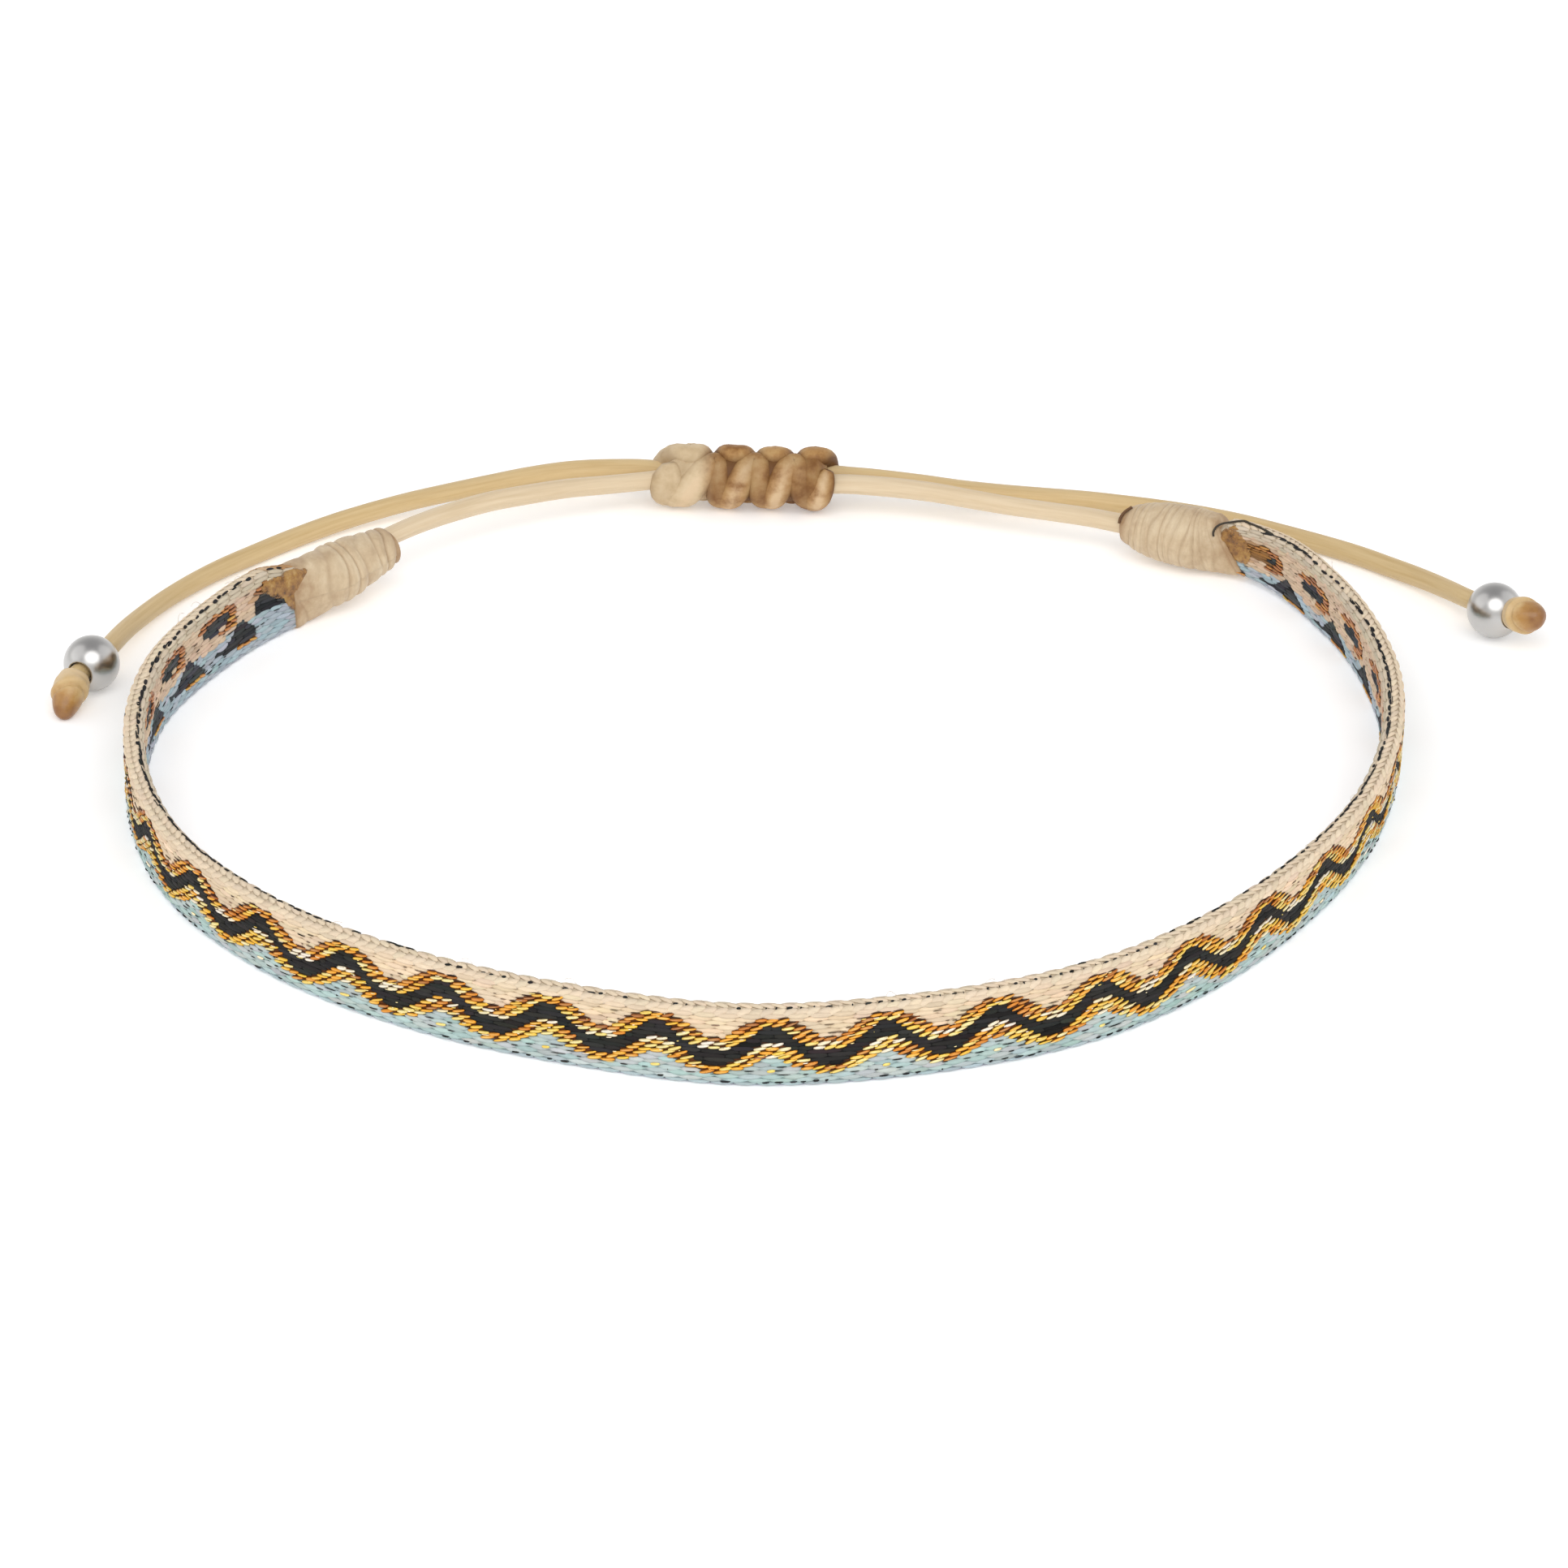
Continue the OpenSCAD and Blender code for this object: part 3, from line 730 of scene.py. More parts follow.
def cotton_finish(start):
    """Cotton thread: its dye colour with the painted shade that its tint carries, streaked by
    fibres that run along it.
    """
    along, around = lay(start)
    fibre = clouds(start.node("CombineXYZ", {0: along * 2600, 1: around * 26000}), 1.0, 3.0, 0.6)
    shade = fibre * 0.5 + 0.75
    grey = start.node("CombineXYZ", {0: shade, 1: shade, 2: shade})
    tone = start.node("Mix", {0: 1.0, 6: painted(start, "tint", 0), 7: grey}, 2,
                      data_type="RGBA", blend_type="MULTIPLY")
    return {"Base Color": tone, "Normal": relief_of(fibre, 0.5, 0.02 * mm)}


def film_finish(start):
    """Metallic film on a thread: glossy strips, each with its own tint, which carries painted
    shade and a painted highlight, and creased a little.
    """
    crease = clouds(object_place(start), 5200.0, 2.0)
    return {"Base Color": painted(start, "tint", 0), "Roughness": crease * 0.25 + 0.2,
            "Normal": relief_of(crease, 0.45, 0.03 * mm)}


cotton = material("cotton_thread", cotton_finish, Roughness=0.85, Specular_IOR_Level=0.25)
film = material("metallic_film", film_finish, Metallic=0.6)


def tints(count, colour, spread):
    """Colours around one colour: each is scaled by a random factor and shifted a little."""
    base = np.array(colour) * (1 + spread * random.normal(size=(count, 1)))
    return np.clip(base * (1 + 0.25 * spread * random.normal(size=(count, 3))), 0.004, 1)


def film_tints(share):
    """Colours from burnt orange through gold to pale silver-pink for shares from 0 to 1."""
    stops = [0, 0.25, 0.45, 0.65, 0.82, 1]
    colours = np.array([[0.34, 0.07, 0.005], [0.72, 0.20, 0.008], [1.0, 0.40, 0.014],
                        [1.0, 0.62, 0.05], [1.0, 0.80, 0.26], [1.0, 0.89, 0.76]])
    return np.stack([np.interp(share, stops, colours[:, k]) for k in range(3)], 1)


def glued(colour, s, z, side):
    """Glue has soaked the threads beside each mouth and turned them ochre: the inner face up
    to 4.2 mm from it, the outer one up to 1.5 mm."""
    reach = (4.2 if side == "inner" else 1.5) * mm
    out = np.minimum(s, BAND_L - s)
    low = np.where(s > BAND_L / 2, 1.5, 2.6) * mm
    soak = np.clip(1 - out / reach, 0, 1) * np.clip((z - low) / (0.6 * mm), 0, 1)
    soak = soak * ((s < BAND_L / 2) | (z < 3.4 * mm))
    soak = np.clip(soak * 2 + 0.35 * random.normal(size=len(s)) * (soak > 0), 0, 1)[:, None] * 0.8
    ochre = np.array([0.44, 0.20, 0.045]) * soak * (0.6 + 0.4 * random.random((len(s), 1)))
    return colour * (1 - soak) + ochre


# Sign of the way up, as distance round the section, on each face
FACING = {"outer": 1, "inner": -1}


def cotton_floats(side, rows, sand, blue, black):
    """Floats of one face in the three cotton colours, a piece for each. A row gives the kinds
    of thread, the colour and its spread, then half width, plumpness, lift, dive, bluntness and
    how far the ends lap over."""
    for what, kinds, colour, spread, half, plump, lift, dive, blunt, lap in (
            ("sand", (SAND, CREAM), sand, 0.07, 0.165, 0.05, -0.025, 0.05, 0.7, 0.09),
            ("blue", (BLUE,), blue, 0.07, 0.17, 0.06, -0.03, 0.06, 0.75, 0.08),
            ("black", (BLACK,), black, 0.3, 0.14, 0.02, -0.02, 0.02, 0.4, 0.02)):
        start, end, q, z, _ = rows[np.isin(rows[:, 4], kinds)].T
        wobble = random.normal(size=(2, len(q))) * 0.012 * mm
        tint = tints(len(q), colour, spread)
        if what == "blue":
            redder = random.choice([-1, -1, 0, 1], (len(q), 1))
            tint = tint * (1 + redder * np.array([0.07, -0.02, -0.01]))
        tint = glued(tint, (start + end) / 2, z, side)
        laid_floats(f"{side}_{what}_threads", start - lap * mm, end + lap * mm,
                    q + wobble[0], q + wobble[1], half, plump, lift, dive, blunt, tint, cotton)


def shadow_floats(side, rows):
    """Painted shade in the gaps where floats of the sand and blue fields meet: thin short dark
    floats between two rows."""
    start, end, q, z, kind = rows.T
    often = np.where(kind == BLUE, 0.7, 0.4) * (1 if side == "outer" else 0.3)
    gap = ((kind == BLUE) | (kind == SAND)) & (random.random(len(q)) < often)
    gap = gap & (z < 3.5 * mm) & (z > 0.5 * mm)
    end, q, kind = end[gap], q[gap], kind[gap]
    dash = (0.19 + 0.09 * random.normal(size=len(q))) * mm
    row = q + FACING[side] * ROW / 2 + random.normal(size=len(q)) * 0.012 * mm
    half = 0.014 + 0.014 * random.random(len(q))
    dark = np.where((kind == BLUE)[:, None], [0.03, 0.027, 0.025], [0.17, 0.12, 0.08])
    laid_floats(f"{side}_shadow_threads", end - dash, end + dash, row, row + 0.02 * mm, half,
                plump=0.03, lift=0.03, dive=0.03, blunt=0.6,
                tint=tints(len(q), dark, 0.3), finish=cotton)


def film_floats(side, rows, slant):
    """Metallic floats, each tilted by its slant. On the outer face they turn from orange at
    the outside of the outline to gold beside the black, with pale ones in the bends. They are
    paler at the front and darker towards the mouths, and dull on the inner face. Each has a
    painted highlight along its crest, strongest at the front, fading towards the mouths, and
    faint on the inner face."""
    start, end, q, z, kind = rows[np.isin(rows[:, 4], (UPPER, LOWER))].T
    count = len(q)
    mid = (start + end) / 2
    w, edges = outer_edges(mid)
    above = kind == UPPER
    foot = np.where(above, edges[3], edges[0])
    near = (z / mm - foot) / (np.where(above, edges[2], edges[1]) - foot)
    share = np.where(above, 0.15 + 0.6 * near, 0.52 + 0.08 * near) + 0.2 * random.normal(size=count)
    bright = np.where(above, (w < -0.7) & (near > 0.4), (w > 0.6) & ((near > 0.75) | (near < 0.2)))
    bright = bright & (random.random(count) < 0.75)
    share = np.where(bright, 0.88 + 0.12 * random.random(count), np.minimum(share, 0.84))
    out = np.abs(mid - BAND_L / 2) / mm
    # Darker towards the mouths; the painted highlight fades with the square of this
    front_factor = np.interp(out, [34, 48], [1, 0.62])
    front_lift = np.interp(out, [10, 35], [1, 0])
    if side == "inner":
        share = np.where(above, 0.22, 0.5) + 0.12 * random.normal(size=count)
        tint = film_tints(np.clip(share, 0, 1)) * 0.55 + np.array([0.17, 0.11, 0.07])
    else:
        tint = film_tints(np.clip(share, 0, 1)) * front_factor[:, None]
        tint = tint + front_lift[:, None] * np.array([0.03, 0.03, 0.01])
    tint = glued(tint, mid, z, side)
    tilt = (slant + 0.09 * random.normal(size=count)) * (end - start) / 2 * FACING[side]
    shift = random.normal(size=count) * 0.012 * mm
    # Painted highlight along each crest, a random amount
    gleam = random.random(count) ** 1.2
    gleam = (0.22 + 0.72 * gleam) * front_factor**2 if side == "outer" else 0.15 * gleam
    half = 0.100 + 0.012 * random.normal(size=count)
    lift = 0.01 * random.normal(size=count) - 0.005
    laid_floats(f"{side}_metallic_threads", start - 0.05 * mm, end + 0.05 * mm,
                q - tilt + shift, q + tilt + shift, half, plump=0.075, lift=lift, dive=0.05,
                blunt=0.35, tint=tint, finish=film, under=0.2, side_lit=0.58, gleam=gleam)


topmost = outer_rows[(outer_rows[:, 4] == UPPER) & (random.random(len(outer_rows)) < 0.8)]
topmost = topmost[outer_chart(topmost[:, :2].mean(1), topmost[:, 3] + ROW) == SAND]
laid_floats("outline_shadow_threads", topmost[:, 0] - 0.05 * mm, topmost[:, 1],
            topmost[:, 2] + 0.12 * mm, topmost[:, 2] + 0.14 * mm,
            half=0.032, plump=0.03, lift=0.03, dive=0.03, blunt=0.5,
            tint=tints(len(topmost), (0.06, 0.022, 0.01), 0.4), finish=cotton)
for side, rows, sand, blue, black, slant in (
        ("outer", outer_rows, (0.77, 0.605, 0.42), (0.46, 0.545, 0.53), (0.022, 0.021, 0.02), 0.24),
        ("inner", inner_rows, (0.61, 0.455, 0.325), (0.38, 0.44, 0.48), (0.045, 0.047, 0.052), 0.12)):
    cotton_floats(side, rows, sand, blue, black)
    shadow_floats(side, rows)
    film_floats(side, rows, slant)

# Selvedges: over the top edge, stitches lean from both faces towards the right and meet in
# chevrons. Under the bottom edge, longer stitches make low lumps, with black thread showing
# between them in short dashes.
top_s = np.arange(0.5 * mm, BAND_L - 0.3 * mm, PICK)
count = len(top_s)
shake = random.normal(size=(4, count)) * 0.02 * mm
stitch_tint = tints(count * 2, (0.75, 0.615, 0.45), 0.035)
start = np.concatenate([top_s, top_s + shake[0]]) - 0.46 * mm
end = np.concatenate([top_s, top_s + shake[1]]) + 0.34 * mm
spine = TOP_Q - 0.22 * mm
low = spine + np.concatenate([shake[2] - 0.35 * mm, shake[3] + 0.46 * mm])
high = spine + np.concatenate([shake[3] - 0.09 * mm, shake[2] + 0.10 * mm])
stitch_tint = glued(stitch_tint, (start + end) / 2, np.full(2 * count, BAND_H), "inner")
laid_floats("top_selvedge", start, end, low, high, half=0.225, plump=0.045, lift=-0.01, dive=0.04,
            blunt=0.6, tint=stitch_tint, finish=cotton, under=0.9, side_lit=1.0)

rim_s = np.arange(0.3 * mm, BAND_L - 0.6 * mm, 2 * PICK)
rims = np.vstack([
    np.column_stack([rim_s + offset * mm, rim_s + (offset + 1.13) * mm, np.full(len(rim_s), q_at),
                     np.full(len(rim_s), half), tints(len(rim_s), colour, 0.05)])
    for q_at, half, offset, colour in (
        (TOP_Q - 0.64 * mm, 0.15, 0.5, (0.75, 0.60, 0.43)),
        (TOP_Q + 0.38 * mm, 0.15, 0.2, (0.63, 0.53, 0.40)),
        (TOP_Q + 0.62 * mm, 0.13, 0.3, (0.56, 0.48, 0.36)),
        (TOP_Q + 0.80 * mm, 0.13, 0.8, (0.56, 0.47, 0.35)),
        (0.43 * mm, 0.15, 0.2, (0.44, 0.54, 0.56)), (0.2 * mm, 0.17, 0.7, (0.42, 0.45, 0.50)),
        (-0.05 * mm, 0.17, 0.1, (0.42, 0.45, 0.50)), (-0.3 * mm, 0.17, 0.6, (0.42, 0.45, 0.50)),
        (-0.5 * mm, 0.15, 0.3, (0.40, 0.44, 0.48)))])
laid_floats("edge_threads", rims[:, 0], np.minimum(rims[:, 1], BAND_L), rims[:, 2], rims[:, 2],
            rims[:, 3], plump=0.09, lift=-0.02, dive=0.06, blunt=0.42, tint=rims[:, 4:], finish=cotton)

# Four rows of dashes: under the inner rim at the sides, in the bottom edge, along the spine
# in front, and thin links that join the first row's dashes into a line
dash_s = np.arange(1.5 * mm, BAND_L - 1.5 * mm, 0.62 * mm)
n = len(dash_s)
grouped = 0.42 + 0.4 * np.sin(dash_s / (0.9 * mm)) + 0.4 * random.normal(size=n)
away = np.abs(dash_s - WAVE_AT) / mm
inside = dash_s < BAND_L - 3.2 * mm
out = np.minimum(dash_s, BAND_L - dash_s) / mm
linked = ((out > 12) & (out < 36) & (random.random(n) < 0.75)) | (dash_s > BAND_L - 8 * mm)
shown = np.array([
    inside & (random.random(n) < 0.9 * np.clip((away - 13) / 18, 0, 1)),
    grouped > 0.5,
    random.random(n) < np.where(dash_s > WAVE_AT - 1 * mm, 0.95, 0.3) * (away < 20),
    inside & linked])
# Each row of dashes: place round the section and its scatter, length, half width and lift
dash_q, scatter, long, half, lift = (column[:, None] for column in np.array([
    [TOP_Q / mm + 0.2, 0.045, 0.52, 0.075, 0.035], [0.60, 0.03, 0.34, 0.038, 0.04],
    [spine / mm, 0.02, 0.22, 0.062, 0.0], [TOP_Q / mm + 0.2, 0.05, 0.9, 0.034, 0.035]]).T)
dash_q = (dash_q + random.normal(size=(4, n)) * scatter) * mm
dash_at = dash_s + random.normal(size=(4, n)) * 0.06 * mm
long = (long + 0.11 * random.normal(size=(4, n))) * mm
half = half * (0.6 + 0.8 * random.random((4, n)))
dash_at, dash_q, long, half, lift = (v[shown] for v in (dash_at, dash_q, long, half, lift + 0 * half))
laid_floats("edge_dashes", dash_at, dash_at + long, dash_q, dash_q + 0.03 * mm, half,
            plump=0.04, lift=lift, dive=0.04, blunt=0.4,
            tint=tints(len(dash_at), (0.02, 0.02, 0.02), 0.3), finish=cotton)

# Small pale flecks along the outlines are painted glints on the film. Flecks of film also show
# in the black and under each peak in the blue. A few loose fibres stand up from the top edge.
is_film = np.isin(outer_rows[:, 4], (UPPER, LOWER))
# Painted glints: pale flecks near the edges of three in ten metallic floats
cut = outer_rows[is_film & (random.random(len(outer_rows)) < 0.3)]
glint_s = cut[:, 0] + random.random(len(cut)) * (cut[:, 1] - cut[:, 0])
black = outer_rows[(outer_rows[:, 4] == BLACK) & (random.random(len(outer_rows)) < 0.07)]
peak_s = WAVE_AT + WAVE * np.arange(-12, 13)
peak_s = peak_s[(peak_s > 2 * mm) & (peak_s < BAND_L - 2 * mm)]
places = [len(cut), len(black), len(peak_s)]
fleck_s = np.concatenate([glint_s, black[:, :2].mean(1), peak_s - 0.05 * mm])
fleck_q = np.concatenate([cut[:, 2] + random.choice([-1, 1], len(cut)) * 0.08 * mm, black[:, 2],
                          np.full(len(peak_s), 0.93 * mm + FLAT_FROM)])
long = np.repeat([0.13, 0.07, 0.26], places)
long = long * (1 + 0.4 * random.normal(size=len(long))) * mm
half = np.repeat([0.028, 0.028, 0.085], places)
laid_floats("film_flecks_and_glints", fleck_s - long, fleck_s + long, fleck_q - long * 0.1, fleck_q + long * 0.1,
            half, plump=0.03, lift=0.05, dive=0.03, blunt=0.4,
            tint=film_tints(0.72 + 0.28 * random.random(len(long))), finish=film,
            under=0.5, side_lit=0.9, gleam=0.1)

HAIRS = 34
hair_s = 4 * mm + random.random(HAIRS) * (BAND_L - 8 * mm)
hair_q = TOP_Q + random.normal(size=HAIRS) * 0.35 * mm
hair_l = (0.35 + 0.4 * random.random(HAIRS)) * mm * random.choice([-1, 1], HAIRS)
hair_t = np.linspace(0, 1, 9)[None]
hair_lift = (0.05 + (0.1 + 0.22 * random.random((HAIRS, 1))) * np.sin(hair_t * math.pi * 0.8)) * mm
hair_line = on_band(hair_s[:, None] + hair_l[:, None] * hair_t,
                    hair_q[:, None] + random.normal(size=(HAIRS, 1)) * 0.25 * mm * hair_t**2, hair_lift)
hairs = [tube(line, 0.011 * mm, 4) for line in hair_line]
hair_points = np.vstack([points for points, _, _ in hairs])
size = len(hair_points) // HAIRS
hair_faces = [np.vstack([faces[k] + size * i for i, (_, faces, _) in enumerate(hairs)]) for k in range(3)]
make_piece("loose_fibres", hair_points, hair_faces, cotton, "woven_band", "woven_band",
           np.zeros((size * HAIRS, 2)), tint=np.tile([0.62, 0.52, 0.40], (size * HAIRS, 1)))


def band_ground(rings, sides):
    """Dense ground under the floats: the whole section, a little smaller, in darker colours that
    show as painted shade in the gaps between threads."""
    s = np.linspace(station[0] + 0.001 * mm, station[-1] - 0.001 * mm, rings)
    q = np.linspace(0, ROUND_L, sides, endpoint=False)
    grid_s, grid_q = np.meshgrid(s, q, indexing="ij")
    points = on_band(grid_s, grid_q, np.full_like(grid_s, -0.055 * mm))
    z = np.interp(grid_q, round_at, round_place[:, 1]) + BAND_H / 2
    kind = np.where(grid_q < TOP_Q, outer_chart(grid_s, z), inner_chart(grid_s, z))
    # Painted shade: each field's colour darkened, for the gaps between its floats; black stays black
    dark = np.array([[0.56, 0.42, 0.29], [0.13, 0.04, 0.01], [0.015, 0.015, 0.015],
                     [0.13, 0.04, 0.01], [0.28, 0.36, 0.38], [0.45, 0.36, 0.26]])[kind]
    rim = (np.abs(grid_q - TOP_Q) < 0.75 * mm)[..., None]
    dark = np.where(rim, np.array([0.57, 0.47, 0.34]), dark)
    ring = np.arange(sides)
    last = rings * sides
    caps = pole_faces(last, ring, last + 1, last - sides + ring)
    uv = np.vstack([np.stack([grid_s, grid_q], -1).reshape(-1, 2), [[0, 0], [0, 0]]])
    tint = np.vstack([dark.reshape(-1, 3), [[0.2, 0.15, 0.1]] * 2])
    points = np.vstack([points.reshape(-1, 3), points[[0, -1]].mean(1)])
    return make_piece("band_ground", points, [grid_faces(rings, sides), *caps], cotton, "woven_band",
                      "woven_band", uv, tint=tint)


band_ground(521, 60)

# Whippings: the band's gathered end and the cord's end are laid together, wound round with
# waxed thread in turns that overlap, and set with glue that has run brown at the mouths.
WHIP_D = 3.5 * mm
WHIP_SIDES = 80
left_mouth = np.array([-24.60, 16.59, 1.8]) * mm
left_tip = np.array([-20.08, 21.11, 2.135]) * mm
right_mouth = np.array([24.68, 21.83, 1.8]) * mm
right_tip = np.array([19.07, 24.21, 1.8]) * mm


def whip_finish(start):
    """Waxed winding: cream, with painted shade down between the turns, brown wax near its two
    ends and fine fibres that follow the turns."""
    share, around = lay(start)
    blotch = clouds(object_place(start), 900.0, 4.0, 0.65)
    turns = start.node("CombineXYZ", {0: painted(start, "phase") * 3.2, 1: around * 9, 2: share * 2})
    fine = clouds(turns, 1.0, 4.0, 0.6)
    cream = shades(blotch, (0.3, (0.51, 0.37, 0.225)), (0.5, (0.62, 0.48, 0.305)),
                   (0.72, (0.70, 0.57, 0.385)))
    end = shades(share + (blotch - 0.5) * 0.3, (0.0, (0.9, 0.9, 0.9)), (0.08, (0.4, 0.4, 0.4)),
                 (0.2, (0.0, 0.0, 0.0)), (0.86, (0.0, 0.0, 0.0)), (0.98, (1.0, 1.0, 1.0)))
    # Painted shade: darker brown down in the grooves between the turns
    groove_shade = painted(start, "hollow").mix(cream, (0.38, 0.25, 0.14, 1))
    tone = (end * 0.75).mix(groove_shade, (0.30, 0.15, 0.05, 1))
    streaked = (fine * 0.9 + 0.42).math("MINIMUM", 1.0).mix((0.34, 0.22, 0.12, 1), tone)
    return {"Base Color": streaked, "Roughness": blotch * 0.3 + 0.4,
            "Normal": relief_of(fine, 0.6, 0.05 * mm)}


wound = material("wound_thread", whip_finish, Sheen_Weight=0.1)


def whipping(name, node, mouth, tip, gathered, neck, taper, turns, slant, depth, lumps, shear, over):
    """Wound body from the mouth to the tip. Its radius falls from the whipping's to the neck's
    with the share along it to the power taper. At the mouth it is drawn in to a rounded box,
    (cos/a)^4 + (sin/b)^4 = r^-4, round the band, sheared along its length with height, and
    drawn over the band by over. The turns are rounded ridges along a helix, slanted by
    shifting them with the cosine of the way round."""
    length = np.linalg.norm(tip - mouth)
    axis, side, up = frames(tip - mouth)
    share = np.concatenate([[0, 0, 0.008], np.linspace(0.02, 0.985, 120), [1, 1]])
    rim = np.interp(share, [0, 0.02, 0.93, 0.975, 1], [0.95, 1, 1, 0.95, 0.68])
    rim[0], rim[-1] = 0, 0
    base = (((WHIP_D / 2) * (1 - share**taper) + neck * share**taper) * rim)[:, None]
    x, rim = share[:, None], rim[:, None]
    turn = ring_angles(WHIP_SIDES)[None]
    phase = turns * x - turn / (2 * math.pi) + slant * np.cos(turn - 0.6)
    phase = phase + 0.15 * np.sin(turn * 2 + 9 * x)
    phase = phase + 0.22 * np.sin(turns * 1.7 * x + 0.9) + 0.1 * np.sin(turns * 3.1 * x + turn)
    ridge = np.abs(np.sin(math.pi * phase))
    deep = depth * (0.5 + 0.5 * np.sin(2.3 * phase + 1.3) ** 2)
    relief = (ridge**0.7 - 1) * deep + lumps * np.sin(2 * turn + 7 * x) * np.sin(math.pi * x)
    open_by = eased(x * length / (2.4 * mm))
    wide, tall = GATHERED_T / 2 + 0.2 * mm, gathered / 2 + 0.1 * mm
    boxy = (np.abs(np.cos(turn) / wide) ** 4 + np.abs(np.sin(turn) / tall) ** 4) ** -0.25
    body = base * open_by + boxy * rim * (1 - open_by)
    radius = np.maximum(body + relief * (rim > 0) * (0.4 + 0.6 * open_by), 0)
    across, rise = radius * np.cos(turn), radius * np.sin(turn)
    ahead = x * length + (shear * rise - over) * (1 - open_by)
    grid = mouth + ahead[..., None] * axis + across[..., None] * side + rise[..., None] * up
    # Painted shade: how deep in the groove between two turns a point lies, which darkens it
    hollow = np.clip(1 - ridge / 0.5, 0, 1) ** 1.2 * np.clip(deep / depth, 0, 1) * 0.7
    uv = np.stack(np.broadcast_arrays(x, turn / (2 * math.pi)), -1)
    return make_piece(name, grid, [grid_faces(len(share), WHIP_SIDES)], wound, "wound_thread", node, uv,
                      hollow=hollow.ravel(), phase=phase.ravel())


whipping("left_winding", "left_whipping", left_mouth, left_tip, gathered=GATHERED_H,
         neck=1.1 * mm, taper=1.7, turns=8, slant=0.45, depth=0.17 * mm, lumps=0.05 * mm,
         shear=-0.05, over=1.1 * mm)
whipping("right_winding", "right_whipping", right_mouth, right_tip, gathered=RIGHT_GATHERED_H,
         neck=0.86 * mm, taper=3.5, turns=13, slant=0.25, depth=0.09 * mm, lumps=0.04 * mm,
         shear=0.6, over=0.3 * mm)


def resin_finish(start):
    """Brown resin: ochre to burnt brown, seen through in blotches and towards its rim."""
    blotch = clouds(object_place(start), 1300.0, 5.0, 0.7)
    tone = shades(blotch, (0.36, (0.10, 0.04, 0.010)), (0.48, (0.30, 0.13, 0.025)),
                  (0.58, (0.46, 0.24, 0.05)), (0.72, (0.62, 0.42, 0.15)))
    cover = (painted(start, "thick") * 1.5 + (blotch - 0.5) * 6).limited(0.0, 0.75)
    return {"Base Color": tone, "Roughness": blotch * 0.3 + 0.25,
            "Normal": relief_of(blotch, 0.4, 0.06 * mm), "Alpha": cover}


resin = material("brown_resin", resin_finish, Coat_Weight=0.3)


def glue_run(name, node, s_mid, z_mid, long, tall, thick):
    """Flat drop of glue on the inner face: an ellipsoid in band coordinates with a wavy rim,
    about a point s_mid along the band and z_mid up. All of it is in mm."""
    polar = np.linspace(0, math.pi, 17)[:, None]
    turn = ring_angles(40)[None]
    wavy = 1 + 0.14 * np.sin(3 * turn + s_mid) + 0.08 * np.sin(5 * turn)
    s = s_mid + long / 2 * np.sin(polar) * np.cos(turn) * wavy
    z = z_mid + tall / 2 * np.sin(polar) * np.sin(turn) * wavy
    points = on_band(s * mm, ROUND_L - z * mm - FLAT_FROM, thick * mm * np.cos(polar) + 0 * turn)
    cover = np.abs(np.cos(polar)) + 0 * turn
    make_piece(name, points, [grid_faces(17, 40)], resin, "wound_thread", node, thick=cover.ravel())


for name, node, s_mid, z_mid, long, tall, thick in (
        ("left_glue_run", "left_whipping", 1.2, 3.2, 4.2, 1.9, 0.2),
        ("left_glue_run_low", "left_whipping", 1.1, 2.3, 1.2, 1.9, 0.14),
        ("right_glue_run", "right_whipping", BAND_L / mm - 0.5, 2.5, 2.7, 2.8, 0.13),
        ("right_glue_run_top", "right_whipping", BAND_L / mm - 0.2, 3.2, 1.8, 1.3, 0.2)):
    glue_run(name, node, s_mid, z_mid, long, tall, thick)

# Thread ends: a black edge thread leaves the band at the right mouth and curls over the
# winding, where it is glued down. Another end shows dark where the cord leaves.


def on_winding(points):
    """Points given in mm along the right winding from its mouth, degrees round it, and mm
    from its axis."""
    x, turn, radius = np.array(points).T[..., None]
    ahead, side, _ = frames(right_tip - right_mouth)
    around = np.cos(np.radians(turn)) * side + np.sin(np.radians(turn)) * [0, 0, 1]
    return right_mouth + x * mm * ahead + radius * mm * around


def thread_end(name, line, radius, colour):
    """Round thread along a line of points."""
    points, faces, uv = tube(smooth_line(line, 8), radius, 8)
    make_piece(name, points, faces, cotton, "wound_thread", "right_whipping", uv,
               tint=np.tile(colour, (len(points), 1)))


lead = np.linspace(-3.2, -0.7, 6) * mm
on_edge = on_band(BAND_L + lead, TOP_Q + np.linspace(0.2, -0.1, 6) * mm, 0.07 * mm + 0 * lead)
curl = on_winding([[-0.1, 106, 1.6], [0.22, 111, 1.57], [0.48, 119, 1.5], [0.62, 129, 1.32],
                   [0.6, 138, 1.17]])
thread_end("curled_edge_thread", np.vstack([on_edge, curl]), 0.06 * mm, [0.06, 0.05, 0.038])
tail = on_winding([[5.55, 95, 1.18], [5.85, 112, 1.02], [6.0, 132, 0.92], [6.03, 152, 0.86]])
thread_end("tail_thread", tail, 0.075 * mm, [0.15, 0.08, 0.04])

# Sliding knot: a second cord worked round the two in square knots, which grips them and
# slides when pushed. In each knot one strand crosses the front from the top waist to the
# bottom and back, and the other crosses the back and shows as a bump on top.
KNOT_L = 9.6 * mm
KNOT_D = 3.45 * mm
FIRST_LOBE = 2.8 * mm
LOBES = 4
STRAND_SIDES = 20
CORE_SIDES = 40
knot_centre = (LEFT_ROUTE[10] + RIGHT_ROUTE[10]) / 2
knot_axis = np.array([0.9983, -0.0576, 0])


def lobe_at(x):
    """Number of lobes from the left end of the knot to x, with the share of the last one."""
    ends = np.concatenate([[0], np.linspace(FIRST_LOBE, KNOT_L, LOBES)])
    return np.interp(x, ends, np.arange(LOBES + 1))


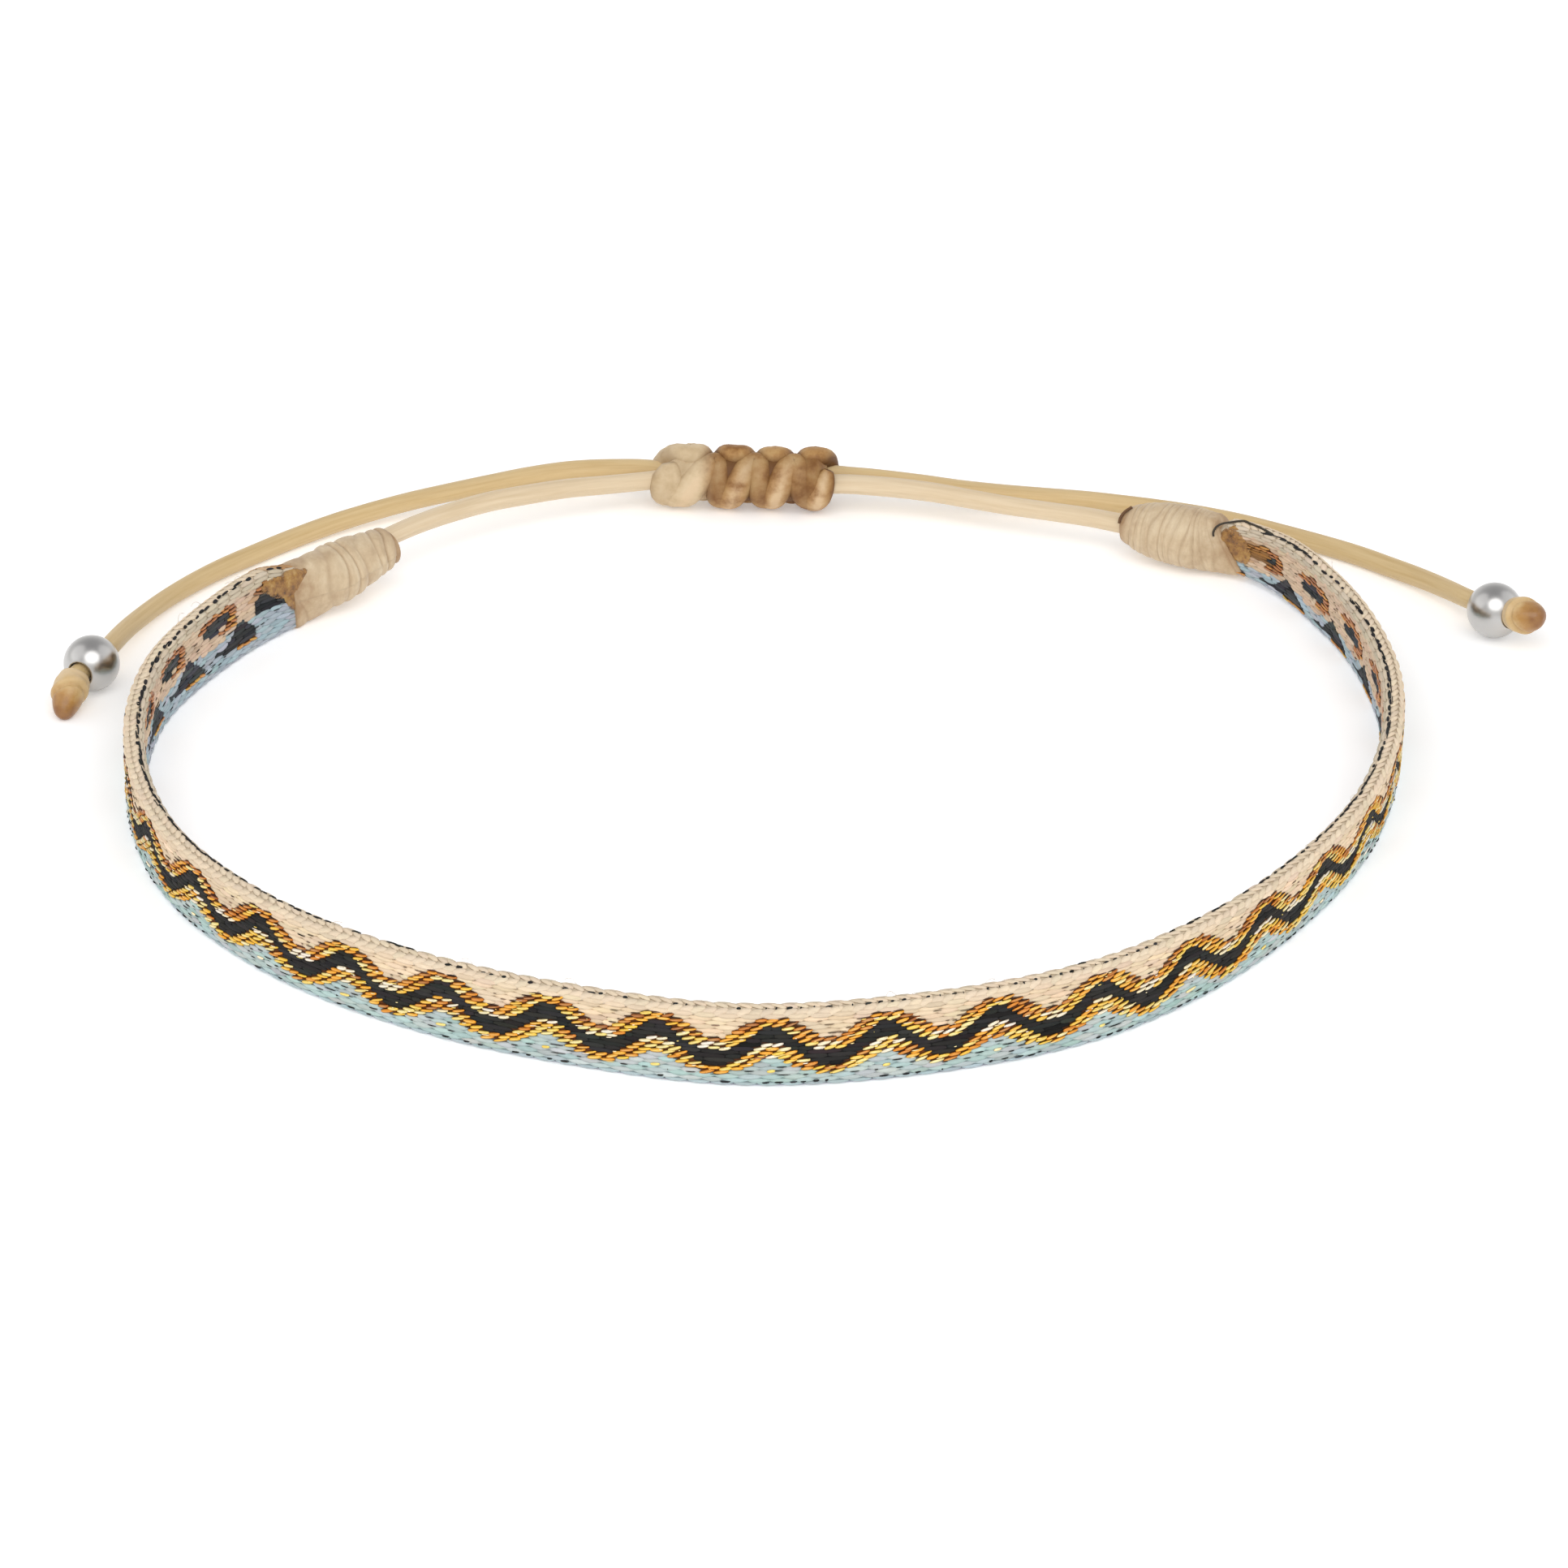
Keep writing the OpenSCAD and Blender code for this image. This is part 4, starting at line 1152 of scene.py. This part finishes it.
def knot_finish(start):
    """Waxed strands: pale at the left, tan further on, with painted dark brown shade in the
    crevices and a painted pale highlight on the crowns.
    """
    place = object_place(start)
    blotch = clouds(place, 850.0, 4.0, 0.6)
    pale = shades(blotch, (0.3, (0.52, 0.38, 0.215)), (0.5, (0.63, 0.485, 0.30)),
                  (0.7, (0.70, 0.57, 0.385)))
    tan = shades(blotch, (0.36, (0.26, 0.115, 0.03)), (0.5, (0.42, 0.225, 0.075)),
                 (0.66, (0.54, 0.34, 0.14)))
    # Painted highlight: pale blotchy streaks along the strands' crowns
    shine = (painted(start, "crown") * (blotch * 2.4 - 0.7)).limited(0.0, 0.7)
    body = shine.mix(painted(start, "tan").mix(pale, tan), (0.70, 0.52, 0.33, 1))
    # Painted shade: dark brown where deep is high, in the crevices and on the flanks
    tone = painted(start, "deep").mix(body, (0.11, 0.038, 0.006, 1))
    return {"Base Color": tone, "Roughness": blotch * 0.35 + 0.35,
            "Normal": relief_of(clouds(place, 5200.0, 3.0), 0.35, 0.04 * mm)}


knotted = material("knotted_cord", knot_finish, Specular_IOR_Level=0.3)


def knot_strand(name, front):
    """Strand whose way round swings by 76 degrees with the cosine of the share through each
    knot, about the front or the back. Its middle stands further out mid-knot than at a waist,
    and the strand is pressed flat, so it is wider along the knot than it is thick. On the
    inside of a bend it reaches no further than 0.9 times the bend's radius."""
    x = np.linspace(0.3 * mm, KNOT_L - 0.3 * mm, 360)
    lobe = lobe_at(x)
    swing = np.cos(2 * math.pi * lobe)
    first = np.clip(1.15 - lobe, 0, 1)
    turn = math.radians(-2 if front else 178) + math.radians(76) * swing
    falling, rising = (front * np.exp(-((np.mod(lobe, 1) - middle) / width) ** 2)
                       for middle, width in ((0.3, 0.13), (0.7, 0.16)))
    end = np.clip(np.minimum(x, KNOT_L - x) / mm - 0.3, 0, 0.5) / 0.5
    thick = (0.56 + 0.09 * first + 0.06 * rising) * mm * np.sqrt(1 - (1 - end) ** 2 * 0.85)
    sunk = (0.30 - 0.05 * first) * mm * (0.5 + 0.5 * swing)
    out = KNOT_D / 2 + 0.04 * mm - thick - sunk - 0.1 * mm * falling
    shift = (x - KNOT_L / 2) + 0.2 * mm * np.sin(turn) * np.clip(2.2 - 0.6 * lobe, 0.2, 2)
    shift = shift - (0.16 * rising + 0.05 * falling) * mm
    forward = np.array([knot_axis[1], -knot_axis[0], 0])
    radial = np.cos(turn)[:, None] * forward + np.sin(turn)[:, None] * np.array([0, 0, 1])
    line = knot_centre + shift[:, None] * knot_axis + out[:, None] * radial
    around = ring_angles(STRAND_SIDES)[None]
    along = length_along(line)[:, None]
    wide = (1.30 if front else 1.42) + 0.2 * first[:, None] + 0.08 * np.sin(along / (1.3 * mm))
    reach = np.hypot(wide * np.cos(around), 0.95 * np.sin(around)) * thick[:, None]
    reach = reach + 0.02 * mm * np.cos(3 * around - along / (0.9 * mm))
    reach = reach + 0.03 * mm * np.sin(around + along / (0.7 * mm))
    ahead, side, _ = frames(np.gradient(line, axis=0), radial)
    bend = (np.gradient(ahead, axis=0) * side).sum(1, keepdims=True) / np.gradient(along, axis=0)
    # A bend's radius counts as a metre at most, which leaves straight stretches as they are
    reach = np.minimum(reach, 0.9 / np.maximum(np.cos(around) * bend, 1))
    points, faces, uv = tube(line, 0, STRAND_SIDES, reach, radial)
    offset = points - knot_centre
    place = offset @ knot_axis + KNOT_L / 2
    offset = offset - np.outer(offset @ knot_axis, knot_axis)
    # Painted shade: deep darkens the strands near the knot's axis, in the crevices, on their flanks and
    # on the falling legs, less at the pale left end. Painted highlight: crown lights the top of each
    # strand, most on the rising legs.
    deep = np.clip((1.62 * mm - np.linalg.norm(offset, axis=1)) / (0.5 * mm), 0, 1) ** 1.2
    height = np.concatenate([np.tile(np.sin(around[0]), len(line)), [0, 0]])
    falling, rising = (np.concatenate([np.repeat(v, STRAND_SIDES), [0, 0]]) for v in (falling, rising))
    deep = np.clip(deep + (0.5 if front else 0.3) * (1 - height) ** 2 + 0.3 * falling, 0, 1)
    crown = np.clip(height, 0, 1) ** 6 * (0.25 + rising)
    tan = np.clip((place - 2.3 * mm) / (0.8 * mm), 0, 1)
    return make_piece(name, points, faces, knotted, "knotted_cord", "sliding_knot", uv,
                      tan=tan, deep=deep * (0.25 + 0.65 * tan), crown=crown)


def knot_core():
    """Body under the strands: a row of low lobes with rounded ends, dark with painted shade where
    it shows between the strands, but for its pale left end and a lighter right one."""
    x = 0.5 + (KNOT_L / mm - 0.85) * (0.5 - 0.5 * np.cos(np.linspace(0, math.pi, 64)))
    radius = 1.22 + 0.12 * np.sin(math.pi * np.mod(lobe_at(x * mm), 1)) + 0.22 * np.clip(x - 7.6, 0, 1)
    end = np.clip(np.minimum(x - x[0], x[-1] - x) / 0.8, 0, 1)
    radius = radius * np.sqrt(1 - (1 - end) ** 2)
    profile = np.stack([x * mm - KNOT_L / 2, radius * mm], 1)
    tan = np.clip(x - 2.3, 0, 1)
    deep = 0.15 + 0.75 * tan - 0.45 * np.clip(x - 7.2, 0, 1)
    tan, deep, crown = (np.repeat(v, CORE_SIDES) for v in (tan, deep, 0 * x))
    grid = turned(profile, knot_centre, knot_axis, CORE_SIDES)
    make_piece("knot_core", grid, [grid_faces(len(x), CORE_SIDES)], knotted, "knotted_cord",
               "sliding_knot", np.zeros((len(tan), 2)), crown=crown, tan=tan, deep=deep)


knot_core()
knot_strand("front_knot_strand", True)
knot_strand("back_knot_strand", False)
